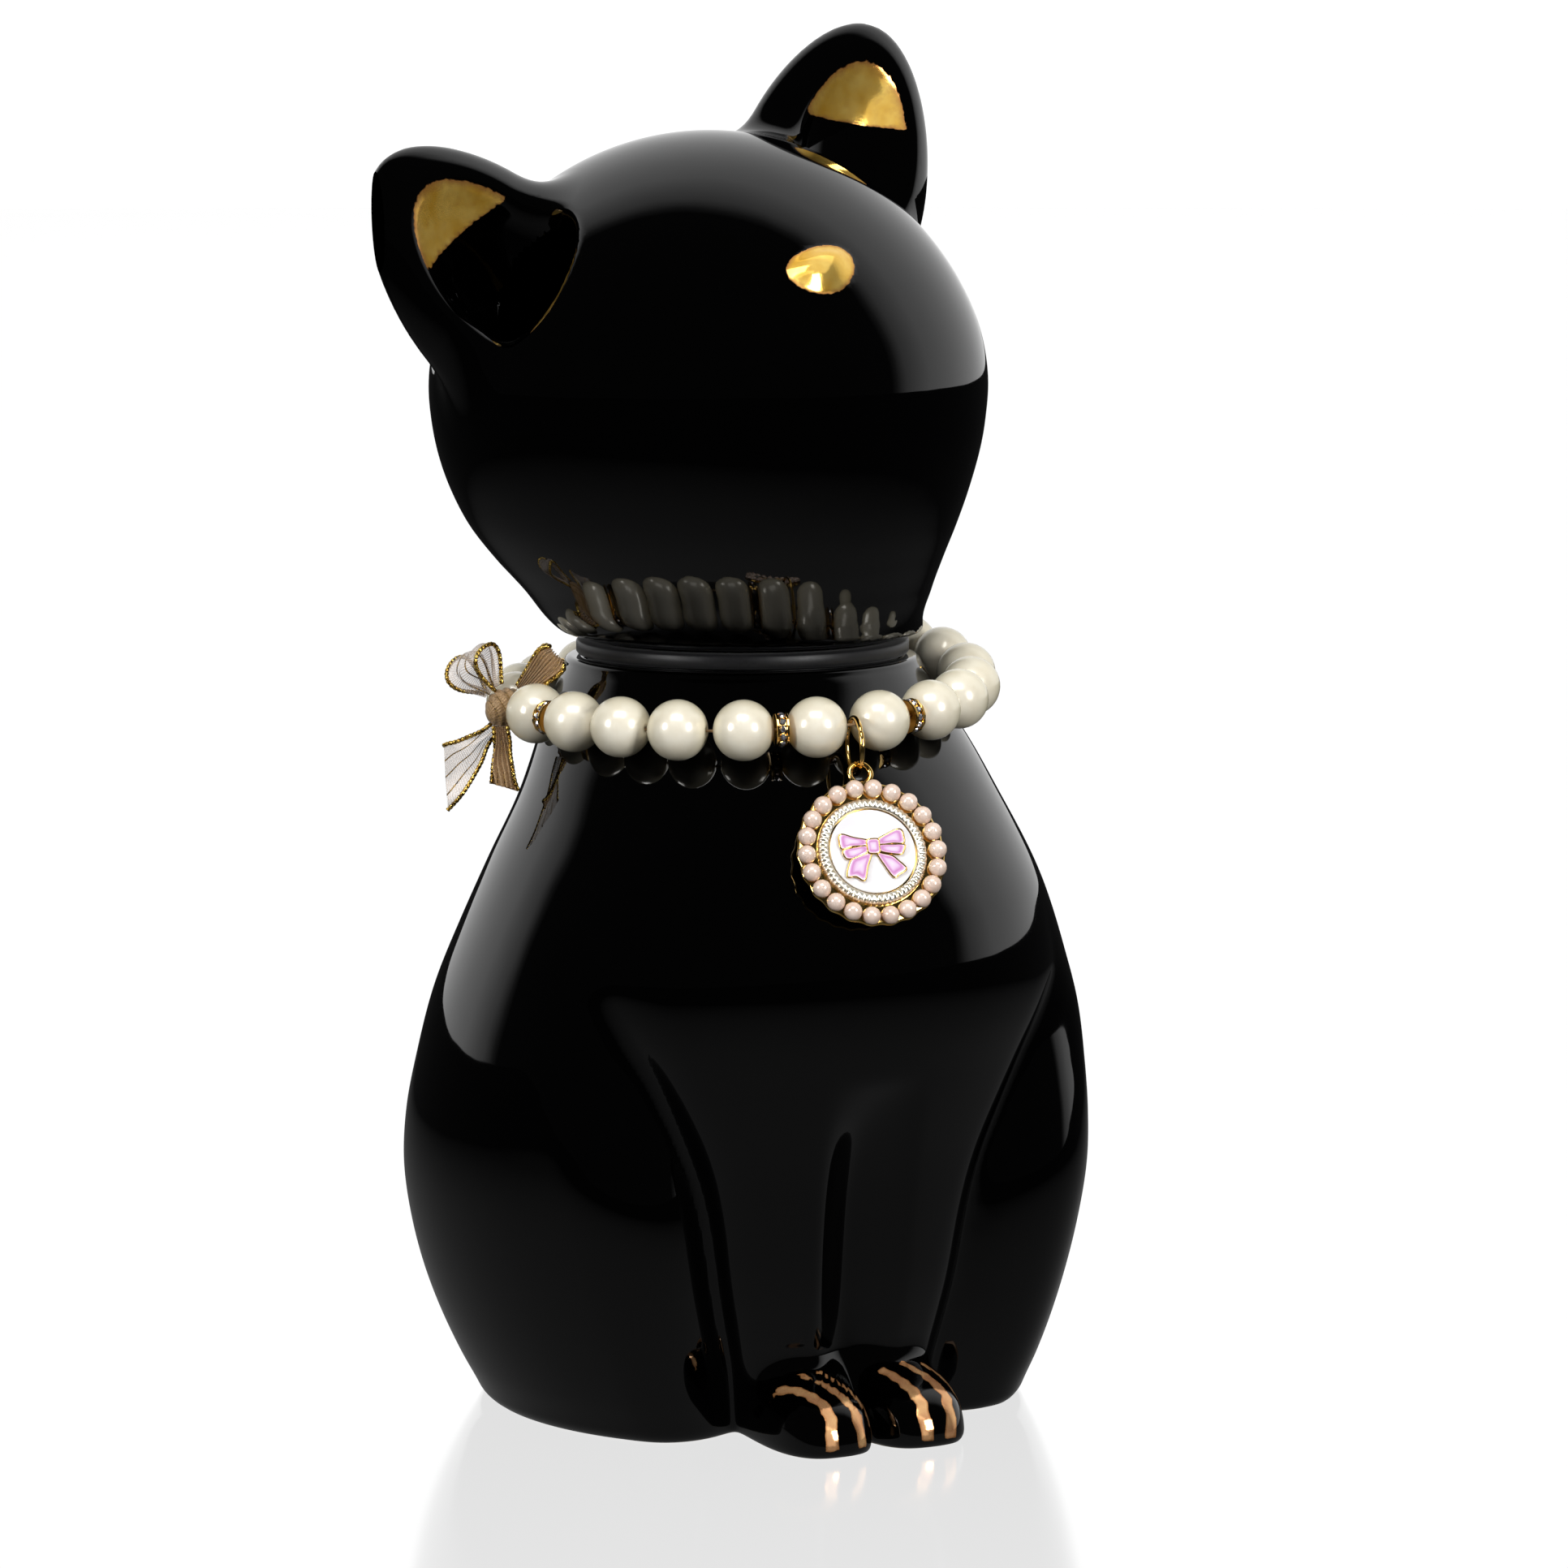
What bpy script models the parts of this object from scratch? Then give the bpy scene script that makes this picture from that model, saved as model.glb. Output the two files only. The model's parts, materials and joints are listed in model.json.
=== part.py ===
"""Seated cat jar in glazed ceramic: a hollow body, a lift-off head that closes it, and a bead collar with a
charm and a ribbon bow. Metres, +Z up. The origin is the centre of the base on the neck's axis, and the cat
faces -Y, so its own right side is -X."""

import bpy
import bmesh
import numpy as np
from math import cos, pi, radians, sin, sqrt
from mathutils import Matrix, Vector

# Jar body
BODY_HEIGHT = 0.1240          # base to the top of the neck rim
BODY_RADIUS = 0.0574          # widest half-width, across the haunches
FOOT_INSET = 0.0035           # rounding of the base's edge
NECK_RADIUS = 0.0297          # outside of the neck rim
BODY_WALL = 0.0045
FLOOR_THICKNESS = 0.0050
CHEST_BULGE = 0.0071          # how far the chest's centre stands forward of the neck's axis
LEG_RECESS = 0.0105           # how far the front legs stand back from the round of the haunches
CREASE_DEPTH = 0.0040
GROOVE_DEPTH = 0.0060         # the hollow between the front legs
GROOVE_HALF_WIDTH = 0.0082
PAW_WIDTH = 0.0168
PAW_HEIGHT = 0.0145
PAW_FRONT = 0.0566            # the toes' distance in front of the neck's axis
PAW_DEPTH = 0.0340
PAW_SLOPE = 0.84              # the toes' height as a share of the height at the middle of the paw

# Neck and seal
NECK_BORE_RADIUS = 0.0262
NECK_BORE_DEPTH = 0.0130
SEAL_RADIUS = 0.0277          # the seal's flange, seen as the dark band under the head
SEAL_THICKNESS = 0.0024       # the flange's height between the neck rim and the head
SEAL_SLEEVE_THICKNESS = 0.0024
SEAL_SLEEVE_LENGTH = 0.0080
PLUG_LENGTH = 0.0110          # the head's plug below its rim
PLUG_WALL = 0.0035
FIT_GAP = 0.0003              # between pieces that touch

# Head
HEAD_RIM_RADIUS = 0.0299
HEAD_RADIUS = 0.0463
HEAD_HEIGHT = 0.0837          # rim to crown
HEAD_LEAN = 0.0060            # the crown's distance towards the cat's right
HEAD_WALL = 0.0040
EAR_WIDTH = 0.0420
EAR_HEIGHT = 0.0260
EAR_THICKNESS = 0.0180
EAR_SPREAD = 0.0350           # from the middle of the head to an ear's root, sideways
EAR_RISE = 0.0280             # and upwards
EAR_AHEAD = 0.0020            # and forwards
EAR_SPLAY = radians(34)       # an ear's lean away from the head's own upright
EAR_NOD = radians(8)          # and forwards
EAR_TAPER = 0.30
EAR_HOLLOW_DEPTH = 0.0065
NOSE_WIDTH = 0.0129
NOSE_HEIGHT = 0.0088
NOSE_PROUD = 0.0012
NOSE_RISE = radians(15.5)      # above the way the face looks
NOSE_SIDE = radians(3)        # and towards the cat's left

# Bead collar
PEARL_DIAMETER = 0.0100
PEARL_BORE = 0.0011
PEARL_GAP = 0.0002
GROUP_GAP = 0.0008            # the slack place in the strand, beside the first group
FRONT_GROUP = 2               # pearls between the two front rondelles, with the ring in their middle
SIDE_GROUP = 4
SIDE_GROUPS = 5
RONDELLE_DIAMETER = 0.0057
RONDELLE_PITCH = 0.0020       # how far a rondelle sets its two pearls apart
STRAND_BEND = 0.17            # radians that the strand turns at a rondelle, which thins its rim
THREAD_DIAMETER = 0.0005
TIE_GAP = 0.0050              # bare thread that the ribbon is tied round
COLLAR_FORWARD = 0.0034       # how far the loop stands forward of the neck's axis
COLLAR_STRETCH = 0.0006       # how far it is pulled long, front to back
COLLAR_TURN = 0.45            # radians, from straight ahead towards the cat's right
STRAND_SHIFT = 0.0004         # how far the jump ring has slid round towards the cat's right
SHOULDER_GAP = 0.0007

# Charm
RING_DIAMETER = 0.0098
RING_WIRE = 0.00085
RING_GAP = 0.0015             # thread between the two front pearls
CHARM_RADIUS = 0.0123
CHARM_BACK = 0.0010
CHARM_TILT = radians(28)
CHARM_YAW = radians(10)       # how far the charm faces towards the cat's right
BAND_OUTER = 0.0089
BAND_INNER = 0.0073
BAND_HEIGHT = 0.0012
LOOP_DIAMETER = 0.0044
LOOP_WIRE = 0.00095
HALF_PEARL_DIAMETER = 0.0030
HALF_PEARL_CIRCLE = 0.0108
HALF_PEARL_COUNT = 22
ENAMEL_THICKNESS = 0.0006
CHARM_BOW_WIDTH = 0.0110
CHARM_BOW_THICKNESS = 0.0006
CHEST_GAP = 0.0006

# Ribbon bow
RIBBON_THICKNESS = 0.0008
KNOT_RADIAL = 0.0036
KNOT_ALONG = 0.0022
KNOT_UPRIGHT = 0.0033
KNOT_OUT = 0.0022             # how far the knot's middle stands outside the thread
# Each loop: its name, its way and its width's way as outward, forward and upward shares, its reach, half its
# opening and its greatest width
LOOPS = (("ribbon_loop_front", (-0.50, 0.50, 0.70), (-0.62, 0.29, -0.73), 0.0105, 0.0008, 0.0062),
         ("ribbon_loop_back", (0.60, 0.0, 0.80), (0.28, -0.88, -0.39), 0.0085, 0.0030, 0.0085))
# Each tail: its name, its start from the thread, its way and its width's way, its length and its end width
TAILS = (("ribbon_tail_front", (0.0041, 0.0033, -0.0036), (0.0, 0.24, -0.97), (-0.75, 0.66, 0.0),
          0.0090, 0.0046),
         ("ribbon_tail_back", (0.0048, -0.0004, -0.0040), (0.73, 0.0, -0.68), (-0.68, 0.0, -0.73),
          0.0105, 0.0085))
TAIL_START_WIDTH = 0.0026
TAIL_WAVE = 0.0003            # how far a tail waves out of its plane

FOOT_SHARE = 0.785            # the base's radius as a share of the body's, part of its outline
# Outline of the body: share of its height, share of its widest radius
BODY_OUTLINE = ((0.016, 0.800), (0.06, 0.848), (0.15, 0.926), (0.24, 0.977), (0.32, 1.0), (0.385, 0.996),
                (0.46, 0.974), (0.55, 0.936), (0.64, 0.871), (0.73, 0.791), (0.82, 0.694), (0.90, 0.615))
# Chest: share of the body's height, share of the chest's bulge
CHEST_OUTLINE = ((0.0, 0.46), (0.19, 0.12), (0.37, 0.21), (0.55, 0.65), (0.74, 1.0), (0.81, 0.93),
                 (0.87, 0.69), (0.92, 0.37), (0.96, 0.15), (1.0, 0.0))
# Outline of the head: share of its height, share of its widest radius, share of its lean
HEAD_OUTLINE = ((0.032, 0.663, 0.18), (0.097, 0.726, 0.44), (0.161, 0.799, 0.70), (0.226, 0.868, 0.88),
                (0.29, 0.92, 0.96), (0.42, 0.987, 1.0), (0.51, 1.0, 1.0), (0.60, 0.975, 1.0),
                (0.70, 0.90, 1.0), (0.80, 0.774, 1.0), (0.88, 0.621, 1.0), (0.95, 0.414, 1.0),
                (0.988, 0.206, 1.0))

PEARL_RADIUS = PEARL_DIAMETER / 2
RIM_EDGE = 0.0012             # rounding of the neck rim and of the head's rim


def clear_scene():
    for item in list(bpy.data.objects):
        bpy.data.objects.remove(item, do_unlink=True)


def make_material(name, colour, metallic, roughness):
    material = bpy.data.materials.new(name)
    material.use_nodes = True
    shader = material.node_tree.nodes["Principled BSDF"]
    shader.inputs["Base Color"].default_value = (*colour, 1.0)
    shader.inputs["Metallic"].default_value = metallic
    shader.inputs["Roughness"].default_value = roughness
    return material


def add_object(name, bm, material, parent=None, location=(0, 0, 0)):
    """Turns a bmesh into a named object with smooth shading."""
    bmesh.ops.recalc_face_normals(bm, faces=bm.faces)
    mesh = bpy.data.meshes.new(name)
    bm.to_mesh(mesh)
    bm.free()
    mesh.materials.append(material)
    mesh.shade_smooth()
    mesh.set_sharp_from_angle(angle=radians(40))
    item = bpy.data.objects.new(name, mesh)
    item.location = location
    bpy.context.scene.collection.objects.link(item)
    if parent is not None:
        item.parent = parent
    return item


def add_empty(name, location, parent=None):
    empty = bpy.data.objects.new(name, None)
    empty.location = location
    bpy.context.scene.collection.objects.link(empty)
    if parent is not None:
        empty.parent = parent
    return empty


def cut_or_join(target, tool, operation):
    """Applies a Boolean to the target and removes the tool."""
    modifier = target.modifiers.new(operation, "BOOLEAN")
    modifier.operation = operation
    modifier.object = tool
    modifier.solver = "EXACT"
    bpy.context.view_layer.update()
    result = target.evaluated_get(bpy.context.evaluated_depsgraph_get())
    mesh = bpy.data.meshes.new_from_object(result)
    target.modifiers.remove(modifier)
    target.data = mesh
    bpy.data.objects.remove(tool, do_unlink=True)


def smooth_curve(places, values, at):
    """A smooth curve through the given points: cubic pieces with slopes taken from the neighbours."""
    x, y = np.asarray(places, float), np.asarray(values, float)
    at = np.clip(np.asarray(at, float), x[0], x[-1])
    slope = np.gradient(y, x)
    i = np.clip(np.searchsorted(x, at) - 1, 0, len(x) - 2)
    h = x[i + 1] - x[i]
    t = (at - x[i]) / h
    return ((2 * t**3 - 3 * t**2 + 1) * y[i] + (t**3 - 2 * t**2 + t) * h * slope[i]
            + (3 * t**2 - 2 * t**3) * y[i + 1] + (t**3 - t**2) * h * slope[i + 1])


def bridge_rings(bm, rings, close_start=True, close_end=True, wrap=False):
    """Skins a list of rings of points, each with the same count, and fills the first and last ring."""
    loops = [[bm.verts.new(point) for point in ring] for ring in rings]
    count = len(loops[0])
    pairs = list(zip(loops, loops[1:]))
    if wrap:
        pairs.append((loops[-1], loops[0]))
    for low, high in pairs:
        for k in range(count):
            after = (k + 1) % count
            bm.faces.new((low[k], low[after], high[after], high[k]))
    if not wrap:
        for loop, wanted in ((loops[0], close_start), (loops[-1], close_end)):
            if wanted:
                bm.faces.new(loop)
    return bm


def turned(profile, count, wrap=False):
    """A solid turned about Z from (radius, height) pairs."""
    angles = np.linspace(0, 2 * pi, count, endpoint=False)
    rings = [[(r * cos(a), r * sin(a), z) for a in angles] for r, z in profile]
    return bridge_rings(bmesh.new(), rings, wrap=wrap)


def ellipsoid(half_sizes, around=16, rows=9, taper=0.0, squareness=2.0):
    """A rounded lump about the origin, narrower towards +Z by the taper."""
    a, b, c = half_sizes
    rings = []
    for v in np.linspace(-pi / 2, pi / 2, rows + 1)[1:-1]:
        ring = []
        for u in np.linspace(0, 2 * pi, around, endpoint=False):
            point = [cos(v) * cos(u), cos(v) * sin(u), sin(v)]
            size = sum(abs(k) ** squareness for k in point) ** (1 / squareness)
            x, y, z = (k / size for k in point)
            slim = 1 - taper * (z + 1) / 2
            ring.append((a * x * slim, b * y * slim, c * z))
        rings.append(ring)
    return bridge_rings(bmesh.new(), rings)


def body_radius(z):
    """The body's round radius at a height, before the legs and haunches are formed."""
    places = [0.0, *(h for h, _ in BODY_OUTLINE), 1 - RIM_EDGE / BODY_HEIGHT]
    values = [FOOT_SHARE * BODY_RADIUS, *(r * BODY_RADIUS for _, r in BODY_OUTLINE), NECK_RADIUS]
    return smooth_curve(places, values, np.asarray(z) / BODY_HEIGHT)


def chest_forward(z):
    """How far the centre of the body's ring stands forward at a height."""
    places, values = zip(*CHEST_OUTLINE)
    return CHEST_BULGE * smooth_curve(places, values, np.asarray(z) / BODY_HEIGHT)


def crease_angle(z):
    """The angle from straight ahead at which a haunch meets the front leg."""
    return np.radians(smooth_curve((0.0, 0.17, 0.34, 0.46, 0.60), (29, 31.5, 35.7, 43, 54), z / BODY_HEIGHT))


def relief(angle, z):
    """How far the surface stands in from the round body: legs set back, creases, and the groove."""
    share = z / BODY_HEIGHT
    side = np.abs((angle + pi) % (2 * pi) - pi)
    edge = crease_angle(z)
    set_back = smooth_curve((0.0, 0.17, 0.34, 0.48, 0.60, 0.70), (0.9, 0.95, 1, 0.6, 0.16, 0), share)
    recess = LEG_RECESS * set_back
    crease = CREASE_DEPTH * smooth_curve((0.0, 0.2, 0.4, 0.52, 0.60), (0.8, 1, 0.9, 0.5, 0), share)
    knee = np.clip((side - edge) / radians(20), 0, 1)
    leg = np.clip((edge - side) / radians(13), 0, 1)
    depth = recess * (1 - knee) ** 2 + crease * (1 - knee) ** 3 * (1 - leg) ** 2
    middle, reach = 0.27, 0.215
    arch = np.clip(1 - (np.abs(share - middle) / reach) ** 2.5, 0, 1)
    across = np.abs(np.sin(angle)) * BODY_RADIUS * 0.8 / GROOVE_HALF_WIDTH
    groove = GROOVE_DEPTH * arch * np.clip(1 - across**2, 0, 1) ** 1.5 * (np.cos(angle) > 0)
    return depth + groove


def body_point(angle, z, inset=0.0):
    """A point of the body's surface; angle is from straight ahead towards +X."""
    r = body_radius(z) - relief(angle, z) - inset
    return (r * sin(angle), -r * cos(angle) - float(chest_forward(z)), z)


def column_angles(z):
    """Angles of the columns round the body at a height: one runs down each crease, and the rest share
    the legs between the creases and the round of the haunches and back."""
    crease = float(crease_angle(z))
    legs = np.array([0.0, 0.17, 0.30, 0.43, 0.58, 0.73, 0.87, 0.95, 1.0]) * crease
    behind = np.array([0.025, 0.06, 0.10, 0.16, 0.24, 0.35, 0.47, 0.60, 0.73, 0.87, 1.0]) * (pi - crease)
    half = np.concatenate([legs, crease + behind])
    return np.concatenate([half, 2 * pi - half[-2:0:-1]])


def body_ring(z, inset=0.0):
    return [body_point(a, z, inset) for a in column_angles(z)]


def round_ring(radius, z):
    """A ring centred on the neck's axis, with its columns where the body's are."""
    return [(radius * sin(a), -radius * cos(a), z) for a in column_angles(BODY_HEIGHT)]


def bore_ring(radius, z):
    """A round ring whose flats, not its corners, lie on the radius."""
    widest = np.max(np.diff(column_angles(BODY_HEIGHT)))
    return round_ring(radius / cos(widest / 2), z)


def make_body(material):
    rings = [[(x, y, 0.0) for x, y, _ in body_ring(0.0, FOOT_INSET)]]
    lowest, highest = 0.0006, BODY_HEIGHT - RIM_EDGE
    for share in (0.005, 0.016, 0.045, 0.08, 0.12, 0.16, 0.20, 0.24, 0.28, 0.32, 0.36, 0.40, 0.44, 0.48,
                  0.52, 0.56, 0.60, 0.66, 0.72, 0.78, 0.84, 0.895, 0.945):
        rings.append(body_ring(max(lowest, share * BODY_HEIGHT)))
    rings.append(round_ring(NECK_RADIUS, highest))
    rings.append(round_ring(NECK_RADIUS - RIM_EDGE, BODY_HEIGHT))
    for height in (BODY_HEIGHT, BODY_HEIGHT - NECK_BORE_DEPTH):
        rings.append(bore_ring(NECK_BORE_RADIUS, height))
    inner = np.linspace(BODY_HEIGHT - NECK_BORE_DEPTH - BODY_WALL * 2, FLOOR_THICKNESS + 0.004, 9)
    for z in inner:
        rings.append(body_ring(z, BODY_WALL))
    rings.append([(x, y, FLOOR_THICKNESS) for x, y, _ in body_ring(FLOOR_THICKNESS, BODY_WALL + 0.006)])
    body = add_object("jar_body", bridge_rings(bmesh.new(), rings), material)
    for side in (-1, 1):
        cut_or_join(body, make_paw(side, material), "UNION")
    return body


def make_paw(side, material):
    """A rounded block with a top that falls to the toes."""
    bm = ellipsoid((PAW_WIDTH / 2, PAW_DEPTH / 2, PAW_HEIGHT), around=14, rows=9, squareness=3.0)
    for vert in bm.verts:
        vert.co.z = max(vert.co.z, 0.0)
        vert.co.z *= PAW_SLOPE + (1 - PAW_SLOPE) * vert.co.y / (PAW_DEPTH / 2)
    bmesh.ops.remove_doubles(bm, verts=bm.verts, dist=1e-6)
    place = Matrix.Translation((side * PAW_WIDTH * 0.497, -PAW_FRONT + PAW_DEPTH / 2, 0))
    bmesh.ops.transform(bm, matrix=place, verts=bm.verts)
    bmesh.ops.dissolve_degenerate(bm, dist=1e-6, edges=bm.edges)
    return add_object("paw_tool", bm, material)


def head_rim_height():
    return BODY_HEIGHT + SEAL_THICKNESS + 2 * FIT_GAP


def plug_radius():
    return NECK_BORE_RADIUS - FIT_GAP - SEAL_SLEEVE_THICKNESS - FIT_GAP


def make_seal(material):
    """A silicone ring: a flange between the rims and a sleeve round the head's plug."""
    inner = plug_radius() + FIT_GAP
    top = BODY_HEIGHT + FIT_GAP + SEAL_THICKNESS
    low = BODY_HEIGHT + FIT_GAP
    sleeve = inner + SEAL_SLEEVE_THICKNESS
    profile = ((inner, top), (inner, low - SEAL_SLEEVE_LENGTH), (sleeve, low - SEAL_SLEEVE_LENGTH),
               (sleeve, low), (SEAL_RADIUS, low), (SEAL_RADIUS, top))
    return add_object("seal_ring", turned(profile, 32, wrap=True), material)


def head_section(share):
    """The head's ring at a share of its height: radius and lean."""
    places = [0.012, *(h for h, _, _ in HEAD_OUTLINE)]
    radii = [HEAD_RIM_RADIUS, *(r * HEAD_RADIUS for _, r, _ in HEAD_OUTLINE)]
    leans = [0.0, *(lean * HEAD_LEAN for _, _, lean in HEAD_OUTLINE)]
    return float(smooth_curve(places, radii, share)), float(smooth_curve(places, leans, share))


def head_ring(share, columns, inset=0.0):
    r, lean = head_section(share)
    z = head_rim_height() + share * HEAD_HEIGHT
    deep = 1 - 0.07 * min(1.0, max(0.0, (share - 0.05) / 0.4))
    return [((r * 1.01 - inset) * cos(a) - lean, (r * deep - inset) * sin(a), z) for a in columns]


def head_centre():
    return Vector((-HEAD_LEAN, 0, head_rim_height() + 0.495 * HEAD_HEIGHT))


def head_frame():
    """Axes of the tilted face: to the cat's left, up and forward."""
    up = Vector((-0.2486, 0.1949, 0.948)).normalized()
    forward = Vector((0.105, -0.972, 0.205))
    forward = (forward - up * forward.dot(up)).normalized()
    return forward.cross(up) * -1, up, forward


def ear_place(side):
    """The middle of an ear's root, its axis and the way its hollow faces."""
    across, up, forward = head_frame()
    axis = (across * side * sin(EAR_SPLAY) + up * cos(EAR_SPLAY)) * cos(EAR_NOD) + forward * sin(EAR_NOD)
    root = head_centre() + across * side * EAR_SPREAD + up * EAR_RISE + forward * EAR_AHEAD
    return root, axis, forward


def make_ear(side, material):
    root, axis, forward = ear_place(side)
    face = (forward - axis * forward.dot(axis)).normalized()
    across = axis.cross(face) * -1
    place = Matrix.Translation(root) @ Matrix((across, -face, axis)).transposed().to_4x4()
    lobe = ellipsoid((EAR_WIDTH / 2, EAR_THICKNESS / 2, EAR_HEIGHT), around=18, rows=12, taper=EAR_TAPER)
    bmesh.ops.transform(lobe, matrix=place, verts=lobe.verts)
    ear = add_object("ear_tool", lobe, material)
    hollow_sizes = (EAR_WIDTH * 0.36, EAR_HOLLOW_DEPTH, EAR_HEIGHT * 0.62)
    hollow = ellipsoid(hollow_sizes, around=14, rows=9, taper=EAR_TAPER)
    shift = Matrix.Translation((0, -EAR_THICKNESS * 0.44, EAR_HEIGHT * 0.34))
    bmesh.ops.transform(hollow, matrix=place @ shift, verts=hollow.verts)
    cut_or_join(ear, add_object("hollow_tool", hollow, material), "DIFFERENCE")
    return ear


def make_nose(material):
    across, up, forward = head_frame()
    out = (forward * cos(NOSE_RISE) + up * sin(NOSE_RISE)) * cos(NOSE_SIDE) + across * sin(NOSE_SIDE)
    bm = ellipsoid((NOSE_WIDTH / 2, 0.004, NOSE_HEIGHT / 2), around=12, rows=6)
    side = out.cross(up).normalized() * -1
    rise = side.cross(out) * -1
    surface = HEAD_RADIUS * 0.93
    place = Matrix.Translation(head_centre() + out * (surface - 0.004 + NOSE_PROUD))
    bmesh.ops.transform(bm, matrix=place @ Matrix((side, -out, rise)).transposed().to_4x4(), verts=bm.verts)
    return add_object("nose_tool", bm, material)


def make_head(material):
    """The hollow head, with the plug that goes into the neck."""
    columns = np.linspace(0, 2 * pi, 36, endpoint=False)
    rim, plug = head_rim_height(), plug_radius()
    hole = plug - PLUG_WALL

    def circle(r, z):
        return [(r * cos(a), r * sin(a), z) for a in columns]

    shares = (0.012, 0.05, 0.11, 0.18, 0.25, 0.33, 0.42, 0.51, 0.60, 0.69, 0.77, 0.84, 0.90, 0.95, 0.988)
    rings = [head_ring(share, columns) for share in reversed(shares)]
    rings += [circle(HEAD_RIM_RADIUS - RIM_EDGE, rim), circle(plug, rim), circle(plug, rim - PLUG_LENGTH)]
    head = add_object("head_lid", bridge_rings(bmesh.new(), rings), material)
    for side in (-1, 1):
        cut_or_join(head, make_ear(side, material), "UNION")
    cut_or_join(head, make_nose(material), "UNION")
    below = rim - PLUG_LENGTH - FIT_GAP
    hollow = [circle(hole, below), circle(hole, rim + HEAD_WALL)]
    hollow += [head_ring(share, columns, HEAD_WALL) for share in (0.16, 0.27, 0.40, 0.52, 0.64, 0.76, 0.86)]
    cut_or_join(head, add_object("hollow_tool", bridge_rings(bmesh.new(), hollow), material), "DIFFERENCE")
    return head


def shoulder_reach(angle, z):
    """The round body's distance from the neck's axis in a direction."""
    r, forward = body_radius(z), chest_forward(z)
    return forward * cos(angle) + np.sqrt(r**2 - (forward * sin(angle)) ** 2)


def rest_height(angle, distance):
    """The height at which a pearl at this distance from the axis lies on the shoulder."""
    z = np.linspace(0.70 * BODY_HEIGHT, BODY_HEIGHT - RIM_EDGE, 200)
    reach = shoulder_reach(angle, z)
    slope = np.gradient(reach, z)
    size = np.sqrt(1 + slope**2)
    off = PEARL_RADIUS + SHOULDER_GAP
    centre, height = reach + off / size, z - off * slope / size
    return float(np.interp(-distance, -centre, height))


def collar_distance(angle, mean):
    return mean + COLLAR_FORWARD * np.cos(angle + COLLAR_TURN) + COLLAR_STRETCH * np.cos(2 * angle)


def gap_list():
    """The spaces between neighbouring pearls, in order from the jump ring towards the cat's left."""
    plain, spacer = PEARL_GAP, RONDELLE_PITCH
    half = FRONT_GROUP // 2
    gaps = [("ring", RING_GAP)] + [("plain", plain)] * (half - 1) + [("rondelle", spacer)]
    for group in range(SIDE_GROUPS):
        inside = [("plain", plain)] * (SIDE_GROUP - 1)
        if group == SIDE_GROUPS - 2:
            inside[-1] = ("tie", TIE_GAP)
        if group == SIDE_GROUPS - 1:
            inside[-1] = ("plain", GROUP_GAP)
        gaps += inside + [("rondelle", spacer)]
    return gaps + [("plain", plain)] * (half - 1)


def collar_path():
    """The collar as points: the middle of each gap, with its kind and size."""
    gaps = gap_list()
    length = sum(size + PEARL_DIAMETER for _, size in gaps)
    angles = np.linspace(0, 2 * pi, 721)
    mean = length / (2 * pi)
    for _ in range(4):
        distance = collar_distance(angles, mean)
        height = np.array([rest_height(a, d) for a, d in zip(angles, distance)])
        curve = np.stack([distance * np.sin(angles), -distance * np.cos(angles), height], axis=1)
        along = np.concatenate([[0], np.cumsum(np.linalg.norm(np.diff(curve, axis=0), axis=1))])
        mean *= 1 + (length * 1.002 - along[-1]) / along[-1]
    steps = [0.0]
    for (_, before), (_, after) in zip(gaps, gaps[1:]):
        steps.append(steps[-1] + before / 2 + PEARL_DIAMETER + after / 2)
    steps = (np.array(steps) - STRAND_SHIFT) * along[-1] / length
    points = np.stack([np.interp(steps, along, curve[:, k], period=along[-1]) for k in range(3)], axis=1)
    return [Vector(p) for p in points], gaps


def turn_to(direction):
    """A rotation that takes Z to the direction."""
    return direction.to_track_quat("Z", "Y").to_matrix().to_4x4()


def pearl_mesh():
    """A pearl about the origin, drilled along Z."""
    bore = PEARL_BORE / 2
    start = np.arcsin(bore / PEARL_RADIUS)
    angles = np.linspace(start, pi - start, 9)
    profile = [(PEARL_RADIUS * sin(a), PEARL_RADIUS * cos(a)) for a in angles]
    return turned(profile, 10, wrap=True)


def rondelle_mesh():
    """A rondelle about the origin along Z, dished on both faces for its pearls."""
    clear = PEARL_RADIUS + FIT_GAP
    middle = PEARL_RADIUS + RONDELLE_PITCH / 2

    def half(r):
        return middle - sqrt(clear**2 - r**2) - STRAND_BEND * r

    bore, rim = PEARL_BORE / 2, RONDELLE_DIAMETER / 2
    waist, edge = rim * 0.9, half(rim)
    profile = ((bore, half(bore)), (bore, -half(bore)), (rim, -edge), (rim, -edge * 0.6),
               (waist, -edge * 0.55), (waist, edge * 0.55), (rim, edge * 0.6), (rim, edge))
    return turned(profile, 12, wrap=True)


def make_thread(points, material, parent):
    """The elastic: straight through each pearl, turning in the gaps."""
    count = len(points)
    rings = []
    for i, point in enumerate(points):
        before = (point - points[i - 1]).normalized()
        after = (points[(i + 1) % count] - point).normalized()
        along = (before + after).normalized()
        side = Vector((0, 0, 1)).cross(along).normalized()
        rise = along.cross(side)
        r = THREAD_DIAMETER / 2
        rings.append([point + side * r * cos(a) + rise * r * sin(a)
                      for a in np.linspace(0, 2 * pi, 6, endpoint=False)])
    return add_object("elastic_thread", bridge_rings(bmesh.new(), rings, wrap=True), material, parent)


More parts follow.
